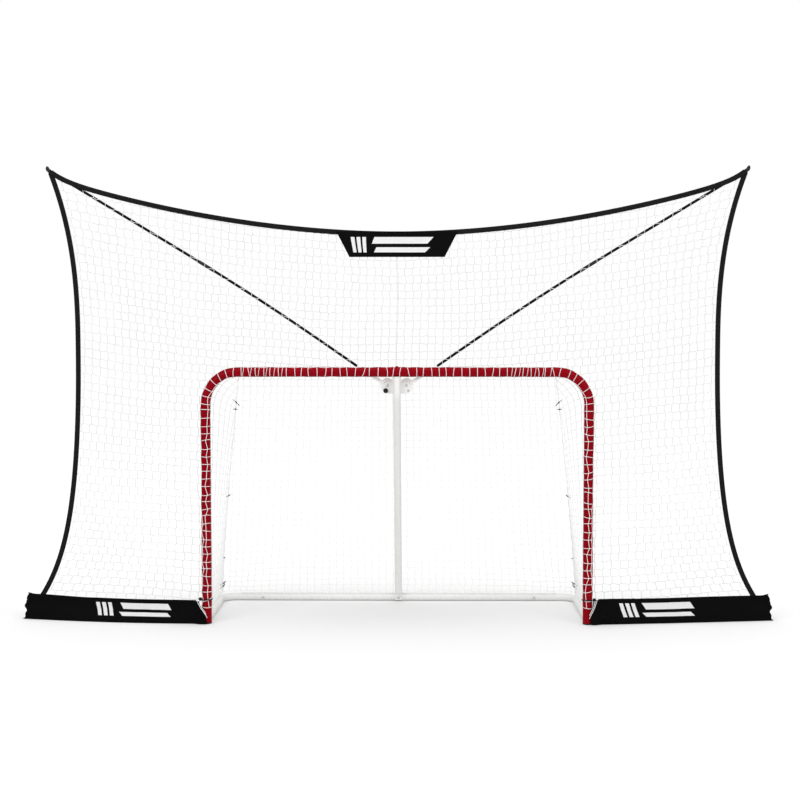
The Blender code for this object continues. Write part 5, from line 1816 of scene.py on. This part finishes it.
@dataclass
class Binding:
    """Black webbing folded over the backstop's edges, with stitches, and the loops that take the poles."""

    width: float = 0.025
    thickness: float = 0.004
    stitch: float = 0.0042
    stitch_gap: float = 0.0024
    stitch_inset: float = 0.0035
    stitch_ends: Pair = (0.004, 0.006)
    thread: float = 0.0005
    layer: float = 0.0012
    end_steps: int = 14
    top_split: float = 1.3
    top_steps: tuple[int, int] = (40, 60)
    upper_steps: int = 90
    lower_steps: int = 60
    foot_tuck: float = 0.012
    loop_span: Pair = (-0.040, 0.002)
    loop_box: Triple = (0.0095, 0.0082, 0.0060)
    loop_steps: int = 10

    def sections(self, path: Array, round_end: bool) -> Array:
        """The tape's section at each path point. A round end is sqrt(r^2 - (r - s)^2) wide at s from the end.

        Args:
            path: the tape's middle line.
            round_end: whether its last end is round.

        Returns:
            points x section points x 2.
        """
        flat = rounded_box(self.width / 2, self.thickness / 2, self.thickness * 0.48, 3)
        share = np.ones(len(path))
        if round_end:
            left = path_run(path[::-1])[::-1] / (self.width / 2)
            share = np.sqrt(np.clip(1 - (1 - np.clip(left, 0, 1)) ** 2, 0.004, 1))
        return flat[None] * np.stack([share, np.ones(len(path))], axis=1)[:, None]

    def strip(self, path: Array, name: str, side: Side, upper: bool, node: str) -> None:
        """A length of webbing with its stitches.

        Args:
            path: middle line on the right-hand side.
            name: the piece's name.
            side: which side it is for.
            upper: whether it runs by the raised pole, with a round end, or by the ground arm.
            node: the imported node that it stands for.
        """
        made = swept(path, self.sections(path, upper), Y_AXIS, uv=True).on(side).piece(name, WEBBING)
        blend_edge(made, side, upper)
        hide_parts(node)
        seam = self.stitches(path).on(side).piece(f"{name}_stitches", THREAD)
        blend_edge(seam, side, upper)

    def stitches(self, path: Array) -> Shell:
        """Short thread runs along both edges, on the front and the back."""
        along = directions(path)
        side = unit(np.cross(np.broadcast_to(Y_AXIS, along.shape), along))
        run = path_run(path)
        first, last = self.stitch_ends
        at = np.arange(first, run[-1] - last, self.stitch + self.stitch_gap)
        parts = []
        for edge in (-1, 1):
            for face in (-1, 1):
                across = side * edge * (self.width / 2 - self.stitch_inset)
                seam = path + across + Y_AXIS * face * (self.thickness / 2)
                low, high = (
                    np.stack([np.interp(place, run, seam[:, axis]) for axis in range(3)], axis=1)
                    for place in (at, at + self.stitch)
                )
                parts.append(strands(low, high, self.thread, Y_AXIS, 4))
        return joined(parts)

    def edge(self, z: Array) -> Array:
        """Middle line of the right side's webbing at heights."""
        return np.stack([OUTLINE.side(z), HOOP_Y + OUTLINE.edge_set_back(z) + self.layer, z], axis=1)

    def build(self) -> None:
        """Builds the top in two halves, and each side in an upper and a lower length."""
        end = self.width * np.linspace(1, 0, self.end_steps)
        near, far = self.top_steps
        last = OUTLINE.corner_x - end
        x = [np.linspace(0, self.top_split, near), np.linspace(self.top_split, last[0], far)[1:], last[1:]]
        x = np.concatenate(x)
        top = np.stack([x, np.full_like(x, HOOP_Y + OUTLINE.set_back - self.layer), OUTLINE.top(x)], axis=1)
        last = OUTLINE.corner_z - end
        upper = self.edge(np.concatenate([np.linspace(BEND_Z, last[0], self.upper_steps), last[1:]]))
        lower = self.edge(np.linspace(SLEEVE_TOP - self.foot_tuck, BEND_Z, self.lower_steps))
        for side in Side:
            word = side.word
            self.strip(top, f"{word}_top_webbing", side, True, "top_binding")
            self.strip(upper, f"{word}_upper_side_webbing", side, True, f"{word}_side_binding")
            self.strip(lower, f"{word}_lower_side_webbing", side, False, f"{word}_side_binding")
            self.tip_loop(side)
            LOG.info("%s webbing is on", word)

    def tip_loop(self, side: Side) -> None:
        """Flattened webbing loop behind the corner that takes the end of the pole.

        Args:
            side: which corner.
        """
        arm = PoleArm(Side.RIGHT)
        low, high = self.loop_span
        path = arm.along(np.linspace(arm.length + low, arm.length + high, self.loop_steps))
        grow = np.sqrt(np.clip(1 - np.linspace(-1, 1, self.loop_steps) ** 6, 0.5, 1))
        section = rounded_box(*self.loop_box, 4)[None] * grow[:, None, None]
        made = swept(path, section, Y_AXIS, uv=True).on(side).piece(f"{side.word}_tip_loop", WEBBING)
        stand_for(made, side.arm, f"{side.word}_corner_pocket")


def ease(low: float, high: float, value: Array) -> Array:
    """Smooth step from 0 at low to 1 at high: 3 s^2 - 2 s^3."""
    share = np.clip((value - low) / (high - low), 0, 1)
    return share * share * (3 - 2 * share)


def thicken(piece: bpy.types.Object, thickness: float) -> None:
    """Gives an open cloth its thickness, to both sides."""
    wall = piece.modifiers.new("cloth_thickness", "SOLIDIFY")
    wall.thickness = thickness
    wall.offset = 0


def inked(skin: Callable[[Array, Array, float], Array], u: Array, v: Array) -> Shell:
    """A closed thin patch of ink just off a surface, over a grid of the surface's two parameters.

    Args:
        skin: points of the surface by its parameters and the distance off it.
        u: first parameter, rows x columns.
        v: second parameter.

    Returns:
        The shell, with a UV map of its place across and up.
    """
    rows, columns = u.shape
    count = rows * columns
    points = np.concatenate([skin(u.ravel(), v.ravel(), off) for off in INK_LAYER])
    faces = grid_faces(rows, columns)
    right = columns * (np.arange(rows - 1) + 2) - 1
    top = (count - 2) - np.arange(columns - 1)
    left = columns * (rows - 2 - np.arange(rows - 2))
    rim = np.concatenate([np.arange(columns), right, top, left])
    after = np.roll(rim, -1)
    walls = np.stack([rim, rim + count, after + count, after], axis=1)
    return Shell(points, [faces, faces[:, ::-1] + count, walls], points[:, [0, 2]]).outward()


@dataclass
class Banner:
    """Cloth tab under the middle of the top binding, with plain printed bars."""

    top_width: float = 0.594
    bottom_width: float = 0.465
    height: float = 0.125
    thickness: float = 0.0014
    columns: int = 90
    rows: int = 22
    over_edge: float = 0.0125
    before_edge: float = 0.0035
    before_net: float = 0.0045
    lean: float = 0.001
    waves: tuple[tuple[float, Wave], ...] = ((0.0022, Wave(21.0, 0.0, 0.4)), (0.0012, Wave(47.0)))
    slant: float = 0.07
    short_bars: tuple[float, ...] = (-0.87, -0.77, -0.67)
    short_bar: Triple = (0.065, 0.22, 0.82)
    long_bars: tuple[tuple[float, ...], ...] = ((-0.46, 0.56, 0.22, 0.48), (-0.46, 0.56, 0.62, 0.82))

    def place(self, u: Array, v: Array, off: float = 0.0) -> Array:
        """Point of the banner's front, which waves more towards its foot.

        Args:
            u: across it, -1 to 1.
            v: down it, 0 to 1.
            off: distance in front of the cloth.

        Returns:
            points x 3.
        """
        x = u * (self.top_width + (self.bottom_width - self.top_width) * v) / 2
        z = OUTLINE.top_middle + self.over_edge - v * self.height
        wave = sum(size * shape.at(x, z) * v**power for power, (size, shape) in enumerate(self.waves, 1))
        back = OUTLINE.net_set_back(x, np.minimum(z, OUTLINE.top_middle))
        front = np.minimum(OUTLINE.set_back - self.before_edge, back - self.before_net)
        return np.stack([x, HOOP_Y + front + wave - self.lean * v - off, z], axis=-1)

    def build(self) -> None:
        """Builds the cloth and the print."""
        u, v = np.meshgrid(np.linspace(-1, 1, self.columns), np.linspace(0, 1, self.rows))
        points = self.place(u.ravel(), v.ravel())
        shell = Shell(points, [grid_faces(self.rows, self.columns)], points[:, [0, 2]])
        cloth = shell.piece("banner_cloth", SLEEVE_CLOTH)
        thicken(cloth, self.thickness)
        stand_for(cloth, "root", "banner")
        width, top, bottom = self.short_bar
        marks = [self.bar(low, low + width, top, bottom) for low in self.short_bars]
        marks += [self.bar(*place) for place in self.long_bars]
        printed = joined(marks).piece("banner_print", WHITE_INK)
        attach(printed, "root")

    def bar(self, low: float, high: float, top: float, bottom: float) -> Shell:
        """A slanted bar of ink, from low to high across the banner's foot and from top to bottom down it."""
        s, t = np.meshgrid(np.linspace(0, 1, 12), np.linspace(0, 1, 5))
        return inked(self.place, low + (high - low) * s + self.slant * (1 - t), top + (bottom - top) * t)


@dataclass(frozen=True)
class SleeveHang:
    """How one sleeve hangs, in metres but for its slack.

    flap is how far its front passes the hinge at the foot, flap_rise how much less on top, and short_bars and
    long_bars where its printed bars start along the arm.
    """

    slack: float
    flap: float
    flap_rise: float
    short_bars: float
    long_bars: float


HANGS = {
    Side.LEFT: SleeveHang(slack=1.0, flap=0.067, flap_rise=0.043, short_bars=0.425, long_bars=0.135),
    Side.RIGHT: SleeveHang(slack=0.2, flap=0.048, flap_rise=0.015, short_bars=0.135, long_bars=0.250),
}


@dataclass
class GroundArm:
    """Ground arm of one side: tube, cap, hinge, and the cloth sleeve laced to the post."""

    side: Side
    bevels: tuple[tuple[str, Finish, float], ...] = (
        ("ground_bracket", RED_COAT, 0.0005),
        ("hinge_pin", STEEL, 0.0003),
        ("ground_tube", STEEL, 0.0003),
        ("ground_tube_cap", BLACK_PLASTIC, 0.0004),
    )
    sleeve_start: float = 0.012
    sleeve_end: float = 0.896
    flat_width: float = 0.32
    rows: int = 91
    columns: int = 130
    foot: float = 0.017
    bulge: float = 0.022
    seam: float = 0.0035
    cloth: float = 0.0012
    sag: float = 0.013
    bow: float = 0.025
    bow_height: float = 0.07
    post_gap: float = 0.0285
    post_span: Pair = (0.035, -0.004)
    front_fold: Pair = (0.05, 0.14)
    edge_wave: Pair = (0.002, 9.0)
    wrinkles: tuple[tuple[float, Wave], ...] = ((0.0016, Wave(31.0, 40.0)), (0.0010, Wave(73.0, -55.0, 1.0)))
    crease: float = 0.0035
    crease_wave: Wave = Wave(12.0, 95.0)
    crease_from: Pair = (0.70, 0.10)
    crease_grow: Pair = (0.2, 0.1)
    free_foot: Pair = (0.02, 0.05)
    free_top: Pair = (0.03, 0.15)
    taut: Pair = (0.55, 0.86)
    dip: Pair = (0.0025, 5.2)
    flick: float = 0.008
    flick_span: Pair = (0.84, 0.89)
    lowest: float = 0.0008
    ragged: tuple[tuple[float, Wave], ...] = ((0.006, Wave(11.0, 0.0, 0.5)), (0.004, Wave(0.0, 23.0)))
    ragged_back: float = 0.010
    end_back: float = 0.004
    cloth_per_turn: float = 0.15
    blend_x: Pair = (0.955, 1.010)
    blend_z: float = 0.06
    short_bar: float = 0.019
    bar_step: float = 0.030
    long_bar: float = 0.245
    slant: float = 0.02
    bar_rows: tuple[Pair, ...] = ((0.40, 0.86), (0.66, 0.86), (0.40, 0.55))
    lace: float = 0.0015
    lace_front: float = 0.0018
    lace_top: Pair = (0.972, 0.004)
    laces_at: tuple[Triple, ...] = ((0.0, 0.55, 0.062), (0.008, 0.42, 0.045))
    loop: float = 0.0028
    loop_gap: float = 0.003
    loop_drop: float = 0.006

    @property
    def hang(self) -> SleeveHang:
        """How this side's sleeve hangs."""
        return HANGS[self.side]

    def inner_edge(self, turn: Array) -> Array:
        """Where the sleeve starts, along the arm: past the hinge before the post, and short of it behind."""
        low, high = self.front_fold
        past = self.hang.flap * ease(low, high, turn)
        past = past - self.hang.flap_rise * np.clip((turn - high) / (1 - high), 0, 1)
        size, wave = self.edge_wave
        return self.sleeve_start + size * np.sin(np.abs(turn) * wave) - past

    def on_wing(self, along: Array, across: Array, z: Array) -> Array:
        """Point of the right ground arm: along it from its hinge, across it towards the back."""
        sin, cos = math.sin(OUTLINE.sweep), math.cos(OUTLINE.sweep)
        x = HINGE[0] + along * cos - across * sin
        y = HINGE[1] + along * sin + across * cos
        return np.stack([x, y, z], axis=-1)

    def half_section(self, turn: Array) -> tuple[Array, Array]:
        """Right half of the sleeve's section: across and height, by share from foot to top."""
        tube_z, top, bulge = LAYOUT.ground_tube_z, SLEEVE_TOP, self.bulge
        stops = [0.0, 0.10, 0.22, 0.38, 0.62, 0.84, 1.0]
        across = [0.0, self.foot, bulge, bulge, bulge * 0.66, self.seam * 1.5, self.seam * 0.6]
        heights = [0.0, 0.0, tube_z * 0.45, tube_z * 1.15, top * 0.52, top * 0.8, top]
        return np.interp(turn, stops, across), np.interp(turn, stops, heights)

    def skin(self, along: Array, turn: Array, off: float = 0.0) -> Array:
        """Point of the sleeve: share -1 is the seam at the back, 0 the foot, 1 the seam at the front.

        The front bows out at its foot, wrinkles where it hangs free, creases towards both ends, passes before
        the post, sinks where it is slack and flicks up at its outer top corner.

        Args:
            along: distance from the hinge.
            turn: share round the section.
            off: distance out from the cloth.

        Returns:
            points x 3.
        """
        across, z = self.half_section(np.abs(turn))
        front = np.clip(turn / 0.1, 0, 1)
        middle = np.sin(np.clip(along / self.sleeve_end, 0, 1) * math.pi)
        bowed = self.bow * self.hang.slack * middle * np.clip(1 - z / self.bow_height, 0, 1)
        across = across + bowed * front
        foot, foot_grow = self.free_foot
        top_grow, least = self.free_top
        free = np.clip((z - foot) / foot_grow, 0, 1) * np.clip((SLEEVE_TOP - z) / top_grow, least, 1)
        wrinkle = sum(size * wave.at(along, z) for size, wave in self.wrinkles)
        (outer, inner), (outer_grow, inner_grow) = self.crease_from, self.crease_grow
        end = np.clip((along - outer) / outer_grow, 0, 1) + np.clip((inner - along) / inner_grow, 0, 1)
        across = across + (wrinkle + self.crease * end * self.crease_wave.at(along, z)) * free
        over_post = self.post_gap * ease(*self.post_span, along) * front
        across = np.maximum(across, over_post) + off
        high = np.clip(z / SLEEVE_TOP, 0, 1)
        dip, dip_wave = self.dip
        taut = ease(*self.taut, along)
        sunk = self.sag * self.hang.slack * (1 - taut) + dip * np.sin(along * dip_wave) ** 2
        lifted = self.flick * ease(*self.flick_span, along) * high**4
        z = np.maximum(z - sunk * high + lifted, self.lowest)
        return self.on_wing(along, -np.sign(turn + 1e-9) * across, z)

    def build(self) -> None:
        """Builds the sleeve, its seam and print, the hinge and the laces."""
        for node, finish, bevel in self.bevels:
            dressed_copy(f"{self.side.word}_{node}", finish, bevel)
        self.sleeve()
        self.laces()
        self.post_loop()

    def sleeve(self) -> None:
        """Cloth sleeve, open along its top seam and at both ends, where its edge is uneven."""
        word, wing = self.side.word, self.side.wing
        ways = np.linspace(-1, 1, self.rows), np.linspace(0, 1, self.columns)
        turn, share = np.meshgrid(*ways, indexing="ij")
        height = np.abs(turn)
        ragged = sum(size * wave.at(height, turn) for size, wave in self.ragged) - self.ragged_back * height
        low, high = self.inner_edge(turn), self.sleeve_end + ragged - self.end_back
        along = low + (high - low) * share
        uv = np.stack([along.ravel(), turn.ravel() * self.cloth_per_turn], axis=1)
        shell = Shell(self.skin(along.ravel(), turn.ravel()), [grid_faces(self.rows, self.columns)], uv)
        cloth = shell.on(self.side).piece(f"{word}_sleeve_cloth", SLEEVE_CLOTH)
        thicken(cloth, self.cloth)
        start, end = ((self.side.value * x, HOOP_Y, self.blend_z) for x in self.blend_x)
        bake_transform(cloth)
        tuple(start)
        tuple(end)
        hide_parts(f"{word}_ground_sleeve")
        marks = joined(self.marks()).on(self.side).piece(f"{word}_sleeve_print", WHITE_INK)
        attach(marks, wing)

    def marks(self) -> list[Shell]:
        """Plain printed bars on the sleeve's front, at about the place and scale of a print."""
        short_rows, *long_rows = self.bar_rows
        starts = [self.hang.short_bars + step * self.bar_step for step in range(3)]
        bars = [self.bar(start, start + self.short_bar, *short_rows) for start in starts]
        low = self.hang.long_bars
        return bars + [self.bar(low, low + self.long_bar, *rows) for rows in long_rows]

    def bar(self, low: float, high: float, foot: float, top: float) -> Shell:
        """A slanted bar of ink just off the cloth.

        Args:
            low: its inner end, along the arm.
            high: its outer end.
            foot: its lower edge, as a share round the section.
            top: its upper edge.

        Returns:
            A closed thin shell.
        """
        s, t = np.meshgrid(np.linspace(0, 1, 14), np.linspace(0, 1, 8))
        along = low + (high - low) * s - self.slant * t * self.side.value
        return inked(self.skin, along, foot + (top - foot) * t)

    def laces(self) -> None:
        """White laces from the sleeve's inner top corner to the post's foot."""
        front = HOOP_Y - self.post_gap - self.cloth - self.lace_front
        top_x, top_drop = self.lace_top
        top_z = SLEEVE_TOP - self.sag * self.hang.slack - top_drop
        parts = []
        for reach, share, foot_z in self.laces_at:
            top = np.array([top_x + reach, front, top_z])
            foot = np.array([HINGE[0] + float(self.inner_edge(np.array(share))) + 0.003, front, foot_z])
            ends = [top, (top + foot) / 2 + (0.003, -0.002, 0.002), foot, foot - (0.006, 0.001, 0.012)]
            parts.append(tube(smooth_path(np.array(ends), 10), self.lace, X_AXIS, 8))
        made = joined(parts).on(self.side).piece(f"{self.side.word}_sleeve_laces", GOAL_TWINE)
        self.side.wing
        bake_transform(made)

    def post_loop(self) -> None:
        """Black loop round the post over the sleeve, with its knot on the outer side."""
        z = SLEEVE_TOP - self.loop_drop
        path = np.array([HOOP_X, HOOP_Y, z]) + ring(HOOP_R + self.loop_gap, 32)
        loop = swept(path, circle(self.loop, 8), Z_AXIS, loop=True)
        at = np.array([OUTSIDE_X + 0.008, HOOP_Y - 0.004, z])
        knot = bead(0.007, 0.009, 0.006, 0.009, at, X_AXIS, 14)
        made = joined([loop, knot]).on(self.side).piece(f"{self.side.word}_sleeve_loop", THREAD)
        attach(made, "root")


# ---- studio ----


@dataclass(frozen=True)
class Lamp:
    """A square soft lamp: where it hangs, what it faces, its side and its power in watts."""

    name: str
    at: Triple
    towards: Triple
    size: float
    power: float

    def hang(self) -> None:
        """Puts the lamp in the scene."""
        data = bpy.data.lights.new(self.name, "AREA")
        data.energy = self.power
        data.size = self.size
        lamp = bpy.data.objects.new(self.name, data)
        lamp.location = self.at
        lamp.rotation_euler = (Vector(self.towards) - Vector(self.at)).to_track_quat("-Z", "Y").to_euler()
        bpy.context.scene.collection.objects.link(lamp)


def seen_directly(tree: NodeTree) -> Socket:
    """1 for rays from the camera, straight or by mirror and glass, and 0 for light that falls on things."""
    path = tree.add("LightPath")
    seen = path.outputs["Is Camera Ray"]
    for other in ("Is Glossy Ray", "Is Transmission Ray"):
        seen = tree.math("MAXIMUM", seen, path.outputs[other])
    return seen


@dataclass
class Studio:
    """Plain white floor and surroundings, soft lamps and the camera."""

    world: float = 0.50
    lamps: tuple[Lamp, ...] = (
        Lamp("front_left", (-3.6, -6.0, 4.2), (0, 0, 0.9), 4.0, 175),
        Lamp("front_right", (4.2, -5.0, 3.2), (0, 0, 0.8), 4.0, 110),
        Lamp("overhead", (0.0, -0.6, 5.2), (0, 0, 0), 5.0, 130),
    )
    floor_size: float = 60.0
    floor_drop: float = 0.0004
    floor_color: float = 0.80
    far_glow: float = 0.585
    lamp_light: float = 0.51
    lamp_pool: tuple[Pair, ...] = ((0.0, -2.5), (5.9, 5.2))
    # patch round the goal where the floor's glow is held back: a painted shade on the floor
    goal_pool: tuple[Pair, ...] = ((0.0, -0.05), (1.2, 0.6))
    lens: float = 66.4
    sensor: float = 36.0
    camera_at: Triple = (0.1028, -7.491, 1.5386)
    camera_down: float = 0.0601
    camera_left: float = 0.0122

    def build(self) -> None:
        """Builds the studio."""
        self.surroundings()
        self.floor()
        for lamp in self.lamps:
            lamp.hang()
        self.camera()
        bpy.context.scene.view_settings.view_transform = "Standard"

    def surroundings(self) -> None:
        """World that the camera and reflections see as white, and that lights softly."""
        world = bpy.data.worlds.new("studio")
        bpy.context.scene.world = world
        world.use_nodes = True
        tree = NodeTree(world.node_tree)
        back = world.node_tree.nodes["Background"]
        tree.feed(back, "Strength", tree.spread(seen_directly(tree), 0.0, 1.0, self.world, 1.0))
        tree.feed(back, "Color", (1, 1, 1, 1))

    def pool(self, wires: Wiring, centre: Pair, reach: Pair) -> Socket:
        """A soft round patch of the floor: exp(-((x - cx) / rx)^2 - ((y - cy) / ry)^2).

        Args:
            wires: the floor's material.
            centre: the patch's middle.
            reach: how far it spreads across and along.

        Returns:
            The socket that holds it.
        """
        place = wires.add("TexCoord").outputs["Object"]
        scaled = wires.add("VectorMath", {"operation": "MULTIPLY"}, Vector=place)
        scaled.inputs[1].default_value = (1 / reach[0], 1 / reach[1], 1.0)
        away = wires.add("VectorMath", {"operation": "DISTANCE"}, Vector=scaled.outputs[0])
        away.inputs[1].default_value = (centre[0] / reach[0], centre[1] / reach[1], 0.0)
        squared = wires.math("POWER", away.outputs["Value"], 2.0)
        return wires.math("EXPONENT", wires.math("MULTIPLY", squared, -1.0))

    def floor(self) -> None:
        """Pale floor that keeps the object's shadow, and glows for the camera where the lamps' light ends, less
        round the goal, which paints a soft shade there.
        """
        half = self.floor_size / 2
        corners = [(x * half, y * half, -self.floor_drop) for x, y in ((-1, -1), (1, -1), (1, 1), (-1, 1))]
        mesh = bpy.data.meshes.new("floor")
        mesh.from_pydata(corners, [], [(0, 1, 2, 3)])
        made = bpy.data.objects.new("floor", mesh)
        bpy.context.scene.collection.objects.link(made)
        wires = Wiring("floor")
        lamps = wires.math("MULTIPLY", self.pool(wires, *self.lamp_pool), self.lamp_light)
        # painted shade: less glow round the goal, so the floor is darker there
        outside = wires.math("SUBTRACT", 1.0, self.pool(wires, *self.goal_pool))
        glow = wires.math("MULTIPLY", wires.math("SUBTRACT", self.far_glow, lamps), outside)
        wires.shade(
            Base_Color=rgba((self.floor_color,) * 3),
            Roughness=0.9,
            Specular_IOR_Level=0.1,
            Emission_Color=(1, 1, 1, 1),
            Emission_Strength=wires.math("MULTIPLY", seen_directly(wires), glow),
        )
        mesh.materials.append(wires.material)

    def camera(self) -> None:
        """The photograph's view: just over the crossbar, a little to the right, looking slightly down."""
        data = bpy.data.cameras.new("camera")
        data.lens = self.lens
        data.sensor_width = self.sensor
        made = bpy.data.objects.new("camera", data)
        made.location = self.camera_at
        made.rotation_euler = (math.pi / 2 - self.camera_down, 0, self.camera_left)
        bpy.context.scene.collection.objects.link(made)
        bpy.context.scene.camera = made


def main() -> None:
    """Builds every sub-assembly in order."""
    logging.basicConfig(level=logging.INFO, format="%(message)s")
    Studio().build()
    RedHoop().build()
    WhiteBase().build()
    dressed_copy("arm_bracket", BRIGHTENED_WHITE_COAT, 0.0005)
    dressed_copy("left_lock_knob", BLACK_PLASTIC, 0.0008)
    dressed_copy("right_lock_bolt", STEEL, 0.0004)
    for side in Side:
        PoleArm(side).build()
        GroundArm(side).build()
    BackstopNet().build()
    GoalNet().build()
    HoopWrap().build()
    BaseLacing().build()
    Binding().build()
    Banner().build()


if __name__ == "__main__":
    main()
